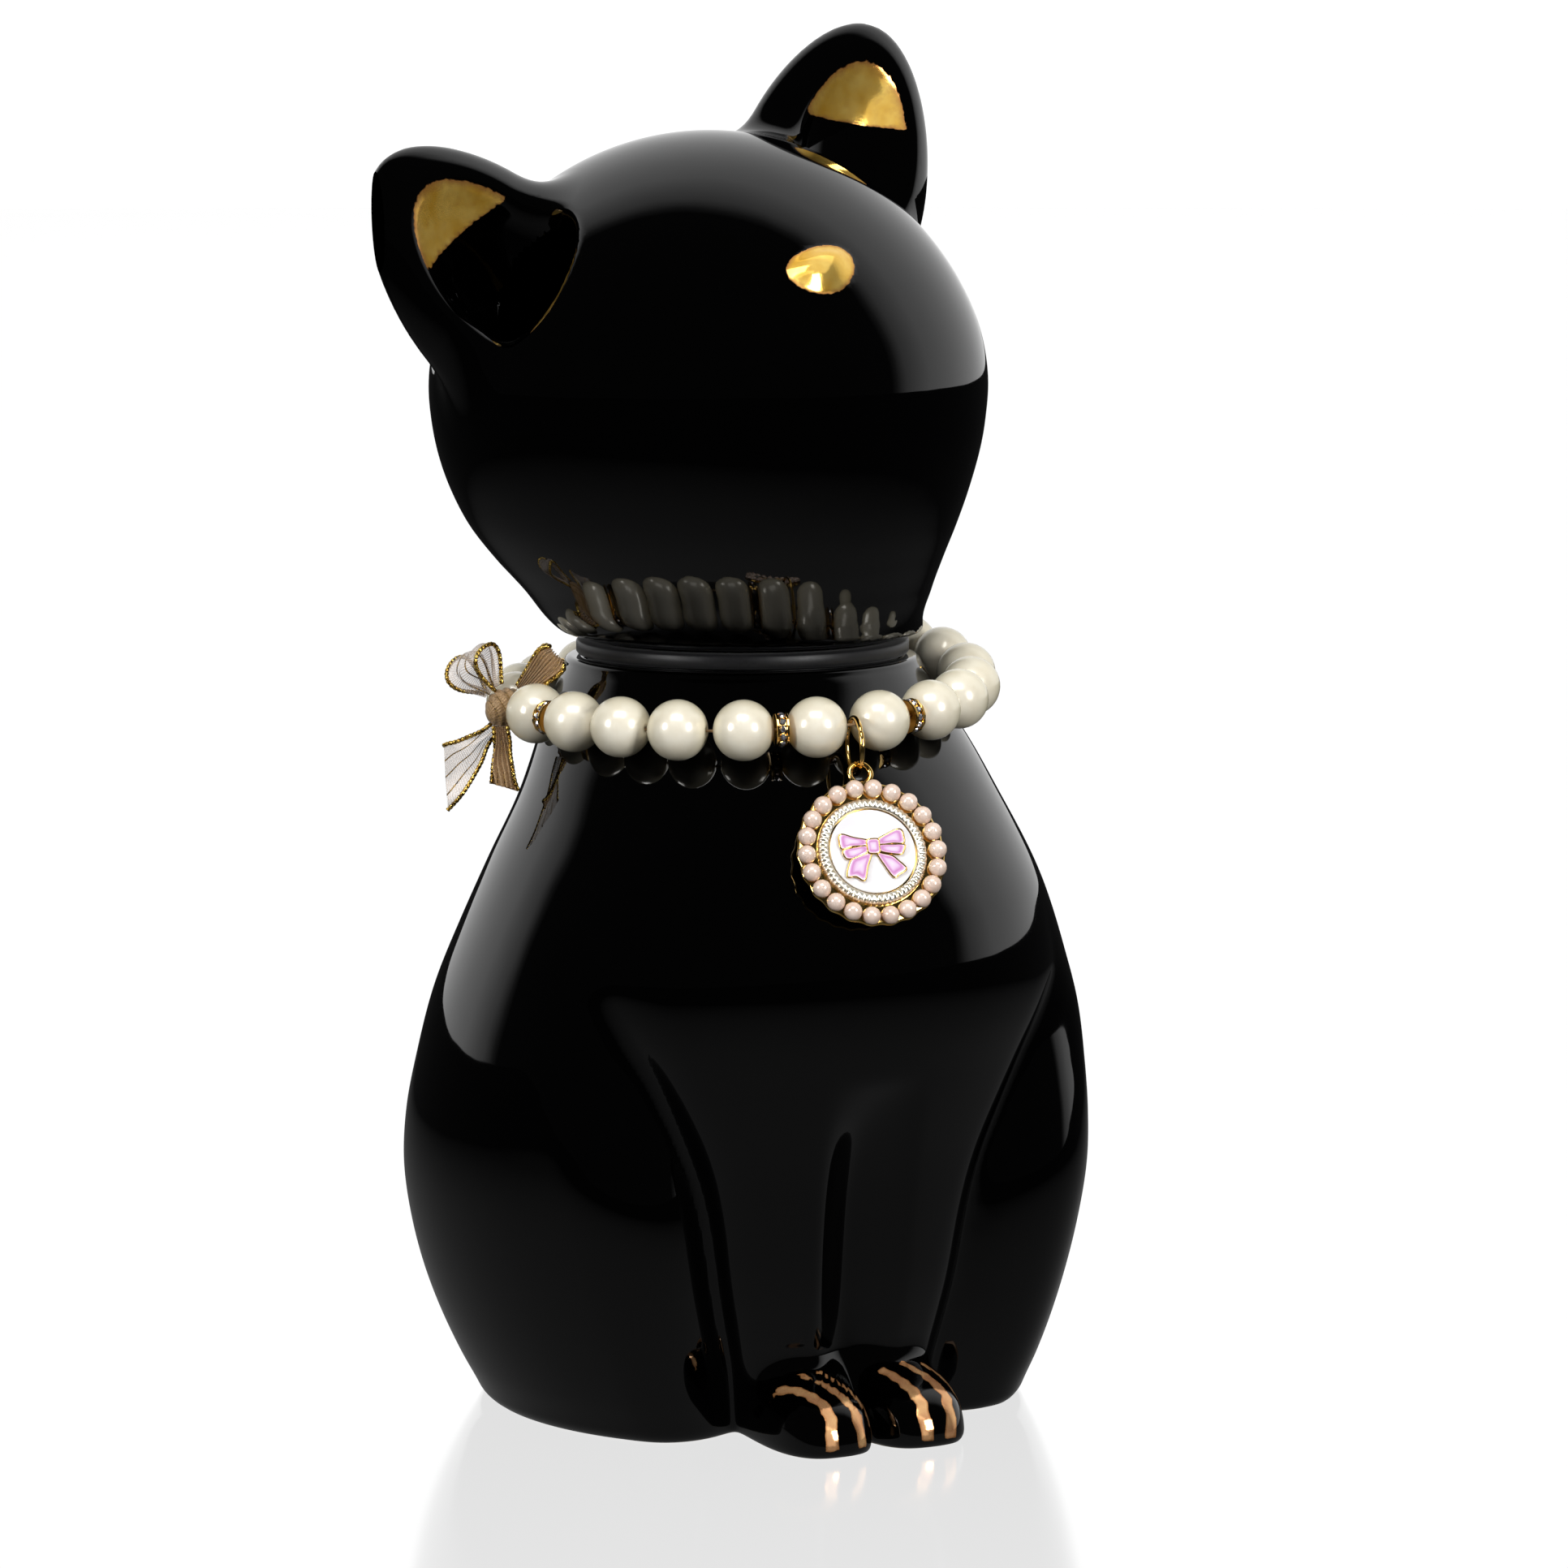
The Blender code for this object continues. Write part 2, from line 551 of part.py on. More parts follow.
def make_collar(materials, parent):
    points, gaps = collar_path()
    count = len(points)
    pearls, rondelles = 0, 0
    for i, (kind, size) in enumerate(gaps):
        start, end = points[i], points[(i + 1) % count]
        after = gaps[(i + 1) % count][1]
        share = (size / 2 + PEARL_RADIUS) / (size / 2 + PEARL_DIAMETER + after / 2)
        along = (end - start).normalized()
        pearls += 1
        bm = pearl_mesh()
        place = Matrix.Translation(start.lerp(end, share)) @ turn_to(along)
        bmesh.ops.transform(bm, matrix=place, verts=bm.verts)
        add_object(f"pearl_{pearls:02d}", bm, materials["pearl"], parent)
        if kind == "rondelle":
            rondelles += 1
            bm = rondelle_mesh()
            mean = (along + (start - points[i - 1]).normalized()).normalized()
            bmesh.ops.transform(bm, matrix=Matrix.Translation(start) @ turn_to(mean), verts=bm.verts)
            add_object(f"rondelle_{rondelles}", bm, materials["gold"], parent)
    make_thread(points, materials["thread"], parent)
    return points, gaps


def hoop(diameter, wire, around=18, sides=6):
    """A ring of round wire about the origin, in the XZ plane."""
    middle = (diameter - wire) / 2
    rings = []
    for a in np.linspace(0, 2 * pi, around, endpoint=False):
        out = Vector((sin(a), 0, cos(a)))
        rings.append([out * (middle + wire / 2 * cos(b)) + Vector((0, wire / 2 * sin(b), 0))
                      for b in np.linspace(0, 2 * pi, sides, endpoint=False)])
    return bridge_rings(bmesh.new(), rings, wrap=True)


def charm_axes():
    """The charm's ways across to the cat's left, down its face and out from it, and the level way ahead."""
    ahead = Vector((-sin(CHARM_YAW), -cos(CHARM_YAW), 0))
    across = Vector((cos(CHARM_YAW), -sin(CHARM_YAW), 0))
    upright = Vector((0, 0, 1))
    down = ahead * sin(CHARM_TILT) - upright * cos(CHARM_TILT)
    return across, down, ahead * cos(CHARM_TILT) + upright * sin(CHARM_TILT), ahead


def charm_place(thread):
    """Where the jump ring hangs and where the charm lies, from the thread's point above them."""
    hang = RING_DIAMETER - 2 * RING_WIRE
    loop_reach = CHARM_RADIUS + LOOP_DIAMETER / 2 - LOOP_WIRE
    grip = LOOP_DIAMETER / 2 - LOOP_WIRE
    top = thread + Vector((0, 0, THREAD_DIAMETER / 2))
    across, down, out, ahead = charm_axes()
    best = None
    for swing in np.radians(np.arange(0, 80, 0.25)):
        ring_way = ahead * sin(swing) - Vector((0, 0, cos(swing)))
        low = top + ring_way * hang
        loop_centre = low + down * (grip - RING_WIRE * 0.1)
        centre = loop_centre + down * loop_reach
        clear = charm_clearance(centre, down, across)
        ring_clear = ring_clearance(top + ring_way * (RING_DIAMETER / 2 - RING_WIRE), ahead)
        if clear >= CHEST_GAP and ring_clear >= CHEST_GAP:
            best = (top + ring_way * (hang / 2), loop_centre, centre, down, out, low)
            break
    return best


def distance_to_chest(point):
    """How far a point near the middle of the chest stands off the round body, measured level."""
    x, y, z = point
    r, forward = float(body_radius(z)), float(chest_forward(z))
    return sqrt(x**2 + (y + forward) ** 2) - r


def charm_clearance(centre, down, across):
    rim = CHARM_RADIUS + 0.0006
    points = [centre + down * rim * cos(a) * k + across * rim * sin(a) * k
              for a in np.linspace(0, 2 * pi, 24) for k in (0, 0.5, 1)]
    return min(distance_to_chest(p) for p in points) * cos(CHARM_TILT)


def ring_clearance(centre, ahead):
    r = RING_DIAMETER / 2
    return min(distance_to_chest(centre + ahead * r * cos(a) + Vector((0, 0, r * sin(a))))
               for a in np.linspace(0, 2 * pi, 48))


def make_charm(thread, materials, parent):
    ring_centre, loop_centre, centre, down, out, low = charm_place(thread)
    ring_pivot = add_empty("ring_pivot", thread - parent.location, parent)
    ring = hoop(RING_DIAMETER, RING_WIRE, around=24)
    turn = Matrix.Rotation(pi / 2 - CHARM_YAW, 4, "Z")
    bmesh.ops.transform(ring, matrix=Matrix.Translation(ring_centre - thread) @ turn, verts=ring.verts)
    add_object("jump_ring", ring, materials["gold"], ring_pivot)
    charm_pivot = add_empty("charm_pivot", low - thread, ring_pivot)
    side = charm_axes()[0]
    place = Matrix.Translation(centre - low) @ Matrix((side, -out, -down)).transposed().to_4x4()
    flat = place @ Matrix.Rotation(pi / 2, 4, "X")

    frame = turned(frame_profile(), 44)
    bmesh.ops.transform(frame, matrix=flat, verts=frame.verts)
    setting = add_object("charm_setting", frame, materials["gold"], charm_pivot)
    loop = hoop(LOOP_DIAMETER, LOOP_WIRE)
    lift = CHARM_RADIUS + LOOP_DIAMETER / 2 - LOOP_WIRE
    above = place @ Matrix.Translation((0, -CHARM_BACK / 2, lift))
    bmesh.ops.transform(loop, matrix=above, verts=loop.verts)
    tool = add_object("loop_tool", loop, materials["gold"], charm_pivot)
    cut_or_join(setting, tool, "UNION")

    beads = bead_circle()
    bmesh.ops.transform(beads, matrix=flat, verts=beads.verts)
    add_object("charm_half_pearls", beads, materials["pearl"], charm_pivot)

    base = CHARM_BACK + FIT_GAP
    enamel = turned(((BAND_INNER - FIT_GAP, base), (BAND_INNER - FIT_GAP, base + ENAMEL_THICKNESS * 0.8),
                     (BAND_INNER - 2 * FIT_GAP, base + ENAMEL_THICKNESS)), 36)
    bmesh.ops.transform(enamel, matrix=flat, verts=enamel.verts)
    add_object("charm_enamel", enamel, materials["white_enamel"], charm_pivot)

    bow = charm_bow()
    raised = flat @ Matrix.Translation((0, 0, base + ENAMEL_THICKNESS + FIT_GAP))
    bmesh.ops.transform(bow, matrix=raised, verts=bow.verts)
    add_object("charm_bow", bow, materials["lilac_enamel"], charm_pivot)


def frame_profile():
    """The charm's setting, turned: a back plate with a raised band round the enamel's place."""
    top = CHARM_BACK + BAND_HEIGHT
    return ((CHARM_RADIUS - 0.0003, 0), (CHARM_RADIUS, 0.0004), (CHARM_RADIUS, CHARM_BACK),
            (BAND_OUTER, CHARM_BACK), (BAND_OUTER - 0.0003, top), (BAND_INNER, top),
            (BAND_INNER, CHARM_BACK))


def bead_circle():
    """Half pearls round the charm, joined where neighbours meet."""
    rings = []
    seat = CHARM_BACK + FIT_GAP
    pitch = 2 * pi / HALF_PEARL_COUNT
    r = HALF_PEARL_DIAMETER / 2
    for bead in range(HALF_PEARL_COUNT):
        for share, size in ((-0.5, 0.42), (-0.33, 0.76), (0.0, 1.0), (0.33, 0.76)):
            a = (bead + share) * pitch
            out = Vector((cos(a), sin(a), 0))
            rings.append([out * (HALF_PEARL_CIRCLE + r * size * cos(b))
                          + Vector((0, 0, seat + r * size * 1.1 * sin(b))) for b in np.linspace(0, pi, 5)])
    return bridge_rings(bmesh.new(), rings, wrap=True)


def charm_bow():
    """A flat bow: two loops, a knot and two tails, as one plate."""
    half = CHARM_BOW_WIDTH / 2
    right = ((0.10, 0.16), (0.45, 0.46), (0.80, 0.56), (1.0, 0.42), (1.0, 0.05), (0.82, -0.08),
             (0.42, -0.02), (0.16, -0.08), (0.46, -0.50), (0.74, -0.92), (0.50, -0.98), (0.32, -0.86),
             (0.08, -0.30))
    outline = [(x, y) for x, y in right] + [(-x, y) for x, y in reversed(right)]
    bm = bmesh.new()
    face = bm.faces.new([bm.verts.new((x * half, y * half + half * 0.15, 0)) for x, y in outline])
    grown = bmesh.ops.extrude_face_region(bm, geom=[face])
    top = [item for item in grown["geom"] if isinstance(item, bmesh.types.BMVert)]
    bmesh.ops.translate(bm, vec=(0, 0, CHARM_BOW_THICKNESS), verts=top)
    return bm


def strip(path, across, width, thickness):
    """A flat band with square edges along a path."""
    rings = []
    for i, point in enumerate(path):
        along = (path[min(i + 1, len(path) - 1)] - path[max(i - 1, 0)]).normalized()
        wide = across[i] - along * across[i].dot(along)
        wide.normalize()
        thick = along.cross(wide)
        w, t = wide * width[i] / 2, thick * thickness / 2
        rings.append([point + w + t, point - w + t, point - w - t, point + w - t])
    return bridge_rings(bmesh.new(), rings)


def bow_frame(points, gaps):
    """The tie's place on the thread, with the ways outward, along the strand and up."""
    at = points[[kind for kind, _ in gaps].index("tie")]
    out = Vector((at.x, at.y, 0)).normalized()
    return at, out, Vector((0, 0, 1)).cross(out), Vector((0, 0, 1))


def make_bow(points, gaps, materials, parent):
    at, out, along, up = bow_frame(points, gaps)
    knot = ellipsoid((KNOT_RADIAL, KNOT_ALONG, KNOT_UPRIGHT), around=14, rows=8)
    middle = at + out * KNOT_OUT
    place = Matrix.Translation(middle) @ Matrix((out, along, up)).transposed().to_4x4()
    bmesh.ops.transform(knot, matrix=place, verts=knot.verts)
    knot = add_object("ribbon_knot", knot, materials["ribbon"], parent)
    room = THREAD_DIAMETER / 2 + 2 * FIT_GAP
    bore = turned(((room, -0.01), (room, 0.01)), 10)
    bmesh.ops.transform(bore, matrix=Matrix.Translation(at) @ turn_to(along), verts=bore.verts)
    cut_or_join(knot, add_object("bore_tool", bore, materials["ribbon"], parent), "DIFFERENCE")

    def way_of(shares):
        return (out * shares[0] + along * shares[1] + up * shares[2]).normalized()

    for name, way, flat, reach, open_by, widest in LOOPS:
        way, flat = way_of(way), way_of(flat)
        opening = flat.cross(way).normalized()
        path, width = [], []
        for t in np.linspace(0.05, 0.95, 15):
            far = reach * sin(pi * t) ** 0.8
            sideways = opening * open_by * sin(2 * pi * t)
            path.append(middle + way * (far + KNOT_UPRIGHT + 3 * FIT_GAP) + sideways)
            width.append(widest * (0.35 + 0.65 * sin(pi * t)))
        band = strip(path, [flat] * len(path), width, RIBBON_THICKNESS)
        add_object(name, band, materials["ribbon"], parent)
    for name, start, way, flat, reach, widest in TAILS:
        start = at + out * start[0] + along * start[1] + up * start[2]
        way, flat = way_of(way), way_of(flat)
        steps = np.linspace(0, 1, 8)
        path = [start + way * reach * t + flat.cross(way) * TAIL_WAVE * sin(2 * pi * t) for t in steps]
        width = [TAIL_START_WIDTH + (widest - TAIL_START_WIDTH) * t for t in steps]
        band = strip(path, [flat] * len(path), width, RIBBON_THICKNESS)
        add_object(name, band, materials["ribbon"], parent)


def build():
    clear_scene()
    ceramic = make_material("black_glazed_ceramic", (0.006, 0.006, 0.007), 0.0, 0.06)
    silicone = make_material("black_silicone", (0.02, 0.02, 0.02), 0.0, 0.55)
    materials = {
        "gold": make_material("gold_plated_alloy", (0.83, 0.60, 0.24), 1.0, 0.18),
        "pearl": make_material("pearl_lacquer", (0.87, 0.84, 0.76), 0.0, 0.22),
        "thread": make_material("clear_elastic", (0.55, 0.42, 0.22), 0.0, 0.4),
        "white_enamel": make_material("white_enamel", (0.92, 0.90, 0.91), 0.0, 0.12),
        "lilac_enamel": make_material("lilac_enamel", (0.74, 0.55, 0.80), 0.0, 0.12),
        "ribbon": make_material("organza_ribbon", (0.56, 0.44, 0.26), 0.0, 0.5),
    }
    make_body(ceramic)
    make_seal(silicone)
    make_head(ceramic)
    collar = add_empty("collar_axis", (0, 0, 0))
    points, gaps = make_collar(materials, collar)
    make_charm(points[0], materials, collar)
    make_bow(points, gaps, materials, collar)


build()
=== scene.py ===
import json
import bmesh
import bpy
import numpy as np
from math import cos, pi, radians, sin, sqrt
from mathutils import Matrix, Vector

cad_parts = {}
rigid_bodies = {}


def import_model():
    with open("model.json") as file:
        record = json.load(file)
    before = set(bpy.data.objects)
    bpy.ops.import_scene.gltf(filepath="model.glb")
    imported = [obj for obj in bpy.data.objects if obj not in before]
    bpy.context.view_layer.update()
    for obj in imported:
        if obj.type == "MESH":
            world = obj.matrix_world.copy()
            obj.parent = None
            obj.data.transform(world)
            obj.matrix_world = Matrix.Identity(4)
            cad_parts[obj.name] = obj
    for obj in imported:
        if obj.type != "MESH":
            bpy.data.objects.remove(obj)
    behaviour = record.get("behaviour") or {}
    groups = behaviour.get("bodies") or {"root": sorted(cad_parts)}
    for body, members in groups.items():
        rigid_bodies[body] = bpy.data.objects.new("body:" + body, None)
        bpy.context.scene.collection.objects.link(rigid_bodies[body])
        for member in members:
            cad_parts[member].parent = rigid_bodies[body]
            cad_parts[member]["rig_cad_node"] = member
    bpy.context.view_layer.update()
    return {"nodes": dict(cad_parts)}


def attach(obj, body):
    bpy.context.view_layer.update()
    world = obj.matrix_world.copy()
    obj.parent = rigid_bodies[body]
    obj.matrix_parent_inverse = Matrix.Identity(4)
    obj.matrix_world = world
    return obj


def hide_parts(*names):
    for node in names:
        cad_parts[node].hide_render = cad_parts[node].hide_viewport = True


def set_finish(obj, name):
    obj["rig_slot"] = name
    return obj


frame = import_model()
print("frame loaded:", len(frame["nodes"]), "nodes")


# helpers

def toLinear(hexColour):
    # sRGB hex to linear light: c/12.92 below 0.04045, else ((c + 0.055)/1.055)^2.4
    parts = [int(hexColour[k:k + 2], 16) / 255 for k in (1, 3, 5)]
    return tuple(c / 12.92 if c < 0.04045 else ((c + 0.055) / 1.055) ** 2.4 for c in parts) + (1.0,)


def addNode(tree, kind, settings=None, links=None):
    # one node: lower-case settings are the node's own, the others are its sockets, and links feed its
    # sockets
    node = tree.nodes.new(kind)
    for key, value in (settings or {}).items():
        if isinstance(key, str) and key[0].islower():
            setattr(node, key, value)
        else:
            node.inputs[key].default_value = value
    for key, source in (links or {}).items():
        tree.links.new(source, node.inputs[key])
    return node


def noise(tree, coords, scale, detail):
    # a cloud pattern on the object's own coordinates
    settings = {"Scale": scale, "Detail": detail}
    return addNode(tree, "ShaderNodeTexNoise", settings,
                   {"Vector": coords.outputs["Object"]}).outputs["Fac"]


def mapTo(tree, low, high, source):
    # 0 to 1 becomes low to high
    return addNode(tree, "ShaderNodeMapRange", {"To Min": low, "To Max": high},
                   {"Value": source}).outputs[0]


def mapFrom(tree, low, high, source):
    # low to high becomes 0 to 1
    return addNode(tree, "ShaderNodeMapRange", {"From Min": low, "From Max": high},
                   {"Value": source}).outputs[0]


def bumpOf(tree, strength, distance, height):
    # a bump from a pattern
    settings = {"Strength": strength, "Distance": distance}
    return addNode(tree, "ShaderNodeBump", settings, {"Height": height}).outputs[0]


def mixColour(tree, share, first, second):
    # share 0 gives the first colour and 1 the second
    links = {"Factor": share, 6: first, 7: second}
    return addNode(tree, "ShaderNodeMix", {"data_type": "RGBA"}, links).outputs[2]


def feed(tree, shader, sources):
    # links each source to the shader's socket of that name
    for key, source in sources.items():
        tree.links.new(source, shader.inputs[key])


def newMaterial(name, values):
    # a material with one Principled shader and the uniform values set on its own sockets
    material = bpy.data.materials.new(name)
    material.use_nodes = True
    shader = material.node_tree.nodes["Principled BSDF"]
    for key, value in values.items():
        shader.inputs[key].default_value = value
    return material, material.node_tree, shader


def ramp(tree, source, stops):
    # a colour ramp through (place, colour) stops
    node = addNode(tree, "ShaderNodeValToRGB", links={0: source})
    elements = node.color_ramp.elements
    while len(elements) < len(stops):
        elements.new(0.5)
    for element, (place, colour) in zip(elements, stops):
        element.position = place
        element.color = toLinear(colour) if isinstance(colour, str) else (colour, colour, colour, 1)
    return node.outputs["Color"]


def smoothCurve(places, values, at):
    # cubic pieces through the points, each slope the average of its neighbours' slopes
    x, y = np.asarray(places, float), np.asarray(values, float)
    at = np.clip(np.asarray(at, float), x[0], x[-1])
    slope = np.gradient(y, x)
    i = np.clip(np.searchsorted(x, at) - 1, 0, len(x) - 2)
    h = x[i + 1] - x[i]
    t = (at - x[i]) / h
    return ((2 * t**3 - 3 * t**2 + 1) * y[i] + (t**3 - 2 * t**2 + t) * h * slope[i]
            + (3 * t**2 - 2 * t**3) * y[i + 1] + (t**3 - t**2) * h * slope[i + 1])


def smoothStep(low, high, at):
    # 3t^2 - 2t^3 with t running 0 to 1 between low and high
    t = np.clip((at - low) / (high - low), 0, 1)
    return t * t * (3 - 2 * t)


def softMin(a, b, k):
    # the lower of two fields, rounded over a width k where they meet: mix(b, a, h) - k h (1 - h)
    h = np.clip(0.5 + 0.5 * (b - a) / k, 0, 1)
    return b + (a - b) * h - k * h * (1 - h)


def unit(vectors):
    # each vector divided by its length
    vectors = np.asarray(vectors, float)
    return vectors / np.maximum(np.linalg.norm(vectors, axis=-1, keepdims=True), 1e-12)


def gridFaces(rows, columns, wrapRows=False, wrapColumns=True, start=0):
    # four-cornered faces between neighbours of a rows x columns grid of vertices
    r = np.arange(rows if wrapRows else rows - 1)
    c = np.arange(columns if wrapColumns else columns - 1)
    r, c = np.meshgrid(r, c, indexing="ij")
    down, right = (r + 1) % rows, (c + 1) % columns
    return start + np.stack([r * columns + c, r * columns + right, down * columns + right,
                             down * columns + c],
                            axis=-1).reshape(-1, 4)


def capFaces(start, columns, pole, flip):
    # a fan of triangles from a row of vertices to one vertex at the pole
    c = np.arange(columns)
    pair = (start + (c + 1) % columns, start + c) if flip else (start + c, start + (c + 1) % columns)
    return np.stack([*pair, np.full(columns, pole)], axis=-1)


def makeMesh(name, points, faces, smooth=True):
    # vertices and faces of any side count into a mesh, with foreach_set for the vertices
    points = np.asarray(points, float).reshape(-1, 3)
    mesh = bpy.data.meshes.new(name)
    mesh.vertices.add(len(points))
    mesh.vertices.foreach_set("co", points.ravel())
    counts = np.concatenate([np.full(len(f), f.shape[1]) for f in faces])
    corners = np.concatenate([f.ravel() for f in faces])
    mesh.loops.add(len(corners))
    mesh.loops.foreach_set("vertex_index", corners.astype(np.int32))
    mesh.polygons.add(len(counts))
    mesh.polygons.foreach_set("loop_start", (np.cumsum(counts) - counts).astype(np.int32))
    mesh.polygons.foreach_set("use_smooth", np.full(len(counts), smooth))
    mesh.update(calc_edges=True)
    mesh.validate()
    return mesh


def setAttribute(mesh, name, values):
    # one number for each vertex
    layer = mesh.attributes.new(name, "FLOAT", "POINT")
    layer.data.foreach_set("value", np.asarray(values, np.float32).ravel())


def setUv(mesh, uv):
    # a UV map from one (u, v) pair for each vertex
    index = np.empty(len(mesh.loops), np.int32)
    mesh.loops.foreach_get("vertex_index", index)
    layer = mesh.uv_layers.new(name="cloth")
    layer.data.foreach_set("uv", np.asarray(uv, np.float32).reshape(-1, 2)[index].ravel())


def closedGrid(name, points, wrapRows=False, poles=True, smooth=True):
    # a grid that wraps round its columns; its first and last rows close to a vertex at their middles
    rows, columns = points.shape[:2]
    flat = points.reshape(-1, 3)
    faces = [gridFaces(rows, columns, wrapRows)]
    if not wrapRows and poles:
        flat = np.vstack([flat, points[0].mean(0), points[-1].mean(0)])
        faces.append(capFaces(0, columns, rows * columns, True))
        faces.append(capFaces((rows - 1) * columns, columns, rows * columns + 1, False))
    return makeMesh(name, flat, faces, smooth)


def joinMeshes(parts):
    # several (points, faces) pairs as one pair, each one's faces counted on from the vertices before it
    points, faces, count = [], [], 0
    for p, f in parts:
        points.append(np.asarray(p, float).reshape(-1, 3))
        faces += [one + count for one in f]
        count += len(points[-1])
    return np.vstack(points), faces


def addPiece(name, mesh, material, body, slotName, *nodes):
    # a finished piece: it rides on its body, takes its slot's finish and stands for its CAD nodes
    piece = bpy.data.objects.new(name, mesh)
    bpy.context.scene.collection.objects.link(piece)
    mesh.materials.append(material)
    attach(piece, body)
    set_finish(piece, slotName)
    if nodes:
        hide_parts(*nodes)
    return piece


def turnedRows(profile, columns, axis=(0, 0, 1), centre=(0, 0, 0)):
    # a profile of (radius, height) pairs turned about an axis: centre + r cos a side + r sin a rise + h
    # axis
    axis = unit(axis)
    side = unit(np.cross((0.31, 0.22, 0.92) if abs(axis[2]) < 0.9 else (1, 0, 0), axis))
    rise = np.cross(axis, side)
    a = np.linspace(0, 2 * pi, columns, endpoint=False)[None, :, None]
    r, h = (np.array([p[k] for p in profile])[:, None, None] for k in (0, 1))
    return np.asarray(centre) + r * (np.cos(a) * side + np.sin(a) * rise) + h * axis


def sweptTube(path, radius, sides, closed=False):
    # a round section carried along a path; its frame follows the path by the same upright throughout
    path = np.asarray(path, float)
    along = unit(np.roll(path, -1, 0) - np.roll(path, 1, 0)) if closed else unit(np.gradient(path, axis=0))
    upright = np.where(np.abs(along[:, 2:]) > 0.95, [[1.0, 0, 0]], [[0, 0, 1.0]])
    side = unit(np.cross(upright, along))
    rise = np.cross(along, side)
    a = np.linspace(0, 2 * pi, sides, endpoint=False)[None, :, None]
    r = np.broadcast_to(np.asarray(radius, float), len(path))[:, None, None]
    return path[:, None] + r * (np.cos(a) * side[:, None] + np.sin(a) * rise[:, None])


# the jar's sizes, as the CAD has them

jar = {"kneeWidth": radians(20), "legWidth": radians(13), "archMiddle": 0.27, "archHalf": 0.215,
       "height": 0.1240, "radius": 0.0574, "neckRadius": 0.0297, "wall": 0.0045,
       "floor": 0.0050, "chestBulge": 0.0071, "legRecess": 0.0105, "creaseDepth": 0.0040,
       "grooveDepth": 0.0060, "grooveHalfWidth": 0.0082, "boreRadius": 0.0262, "boreDepth": 0.0130,
       "rimEdge": 0.0012, "footShare": 0.785,
       "softening": 0.0011,         # how far the glaze rounds the creases
       "columns": 400, "lowRows": 56, "highRows": 104,
       "outline": ((.016, .800), (.06, .848), (.15, .926), (.24, .977), (.32, 1.0), (.385, .996),
                   (.46, .974), (.55, .936), (.64, .871), (.73, .791), (.82, .694), (.90, .615)),
       "chest": ((0, .46), (.19, .12), (.37, .21), (.55, .65), (.74, 1.0), (.81, .93), (.87, .69),
                 (.92, .37), (.96, .15), (1, 0))}
paw = {"width": 0.0168, "height": 0.0145, "front": 0.0566, "depth": 0.0340, "power": 2.9, "slope": 0.84,
       "footEdge": 0.0022, "betweenPaws": 0.0012, "toLeg": 0.0042}


def bodyRadius(z):
    # the round body's radius: a smooth curve through the outline's shares of height and radius
    places = [0.0, *(h for h, _ in jar["outline"]), 1 - jar["rimEdge"] / jar["height"]]
    values = [jar["footShare"] * jar["radius"], *(r * jar["radius"] for _, r in jar["outline"]),
              jar["neckRadius"]]
    return smoothCurve(places, values, z / jar["height"])


def chestForward(z):
    # how far the ring's centre stands forward of the neck's axis
    places, values = zip(*jar["chest"])
    return jar["chestBulge"] * smoothCurve(places, values, z / jar["height"])


def relief(angle, z):
    # legs set back by the recess, a crease where haunch and leg meet, and an arched groove between the legs
    share = z / jar["height"]
    side = np.abs((angle + pi) % (2 * pi) - pi)
    edge = np.radians(smoothCurve((0, .17, .34, .46, .60), (29, 31.5, 35.7, 43, 54), share))
    recess = jar["legRecess"] * smoothCurve((0, .17, .34, .48, .60, .70), (.9, .95, 1, .6, .16, 0), share)
    crease = jar["creaseDepth"] * smoothCurve((0, .2, .4, .52, .60), (.8, 1, .9, .5, 0), share)
    knee = np.clip((side - edge) / jar["kneeWidth"], 0, 1)
    leg = np.clip((edge - side) / jar["legWidth"], 0, 1)
    depth = recess * (1 - knee) ** 2 + crease * (1 - knee) ** 3 * (1 - leg) ** 2
    arch = np.clip(1 - (np.abs(share - jar["archMiddle"]) / jar["archHalf"]) ** 2.5, 0, 1)
    across = np.abs(np.sin(angle)) * jar["radius"] * 0.8 / jar["grooveHalfWidth"]
    groove = jar["grooveDepth"] * arch * np.clip(1 - across**2, 0, 1) ** 1.5 * (np.cos(angle) > 0)
    return depth + groove


def softRelief(angle, z):
    # the relief averaged over a small round patch with bell-curve weights
    total, weight = 0, 0
    for da in (-2, -1, 0, 1, 2):
        for dz in (-2, -1, 0, 1, 2):
            w = np.exp(-(da * da + dz * dz) / 3)
            step = jar["softening"] * 0.75
            total = total + w * relief(angle + da * step / 0.05, np.clip(z + dz * step, 0, jar["height"]))
            weight += w
    return total / weight


def pawField(x, y, z, side):
    # signed distance of a rounded block |x/a|^p + |y/b|^p + |z/c|^p = 1 whose top falls towards the toes
    a, b, c = paw["width"] / 2, paw["depth"] / 2, paw["height"]
    p = paw["power"]
    dx = np.abs(x - side * a * 0.994)
    dy = y + paw["front"] - b
    c = c * (paw["slope"] + (1 - paw["slope"]) * np.clip(dy / b, -1, 1))
    terms = (dx / a) ** p + (np.abs(dy) / b) ** p + (np.abs(z) / c) ** p
    n = np.maximum(terms, 1e-9) ** (1 / p)
    slope = n ** (1 - p) * np.sqrt((dx ** (p - 1) / a**p) ** 2 + (np.abs(dy) ** (p - 1) / b**p) ** 2
                                   + (np.abs(z) ** (p - 1) / c**p) ** 2)
    return (n - 1) / np.maximum(slope, 1e-6)


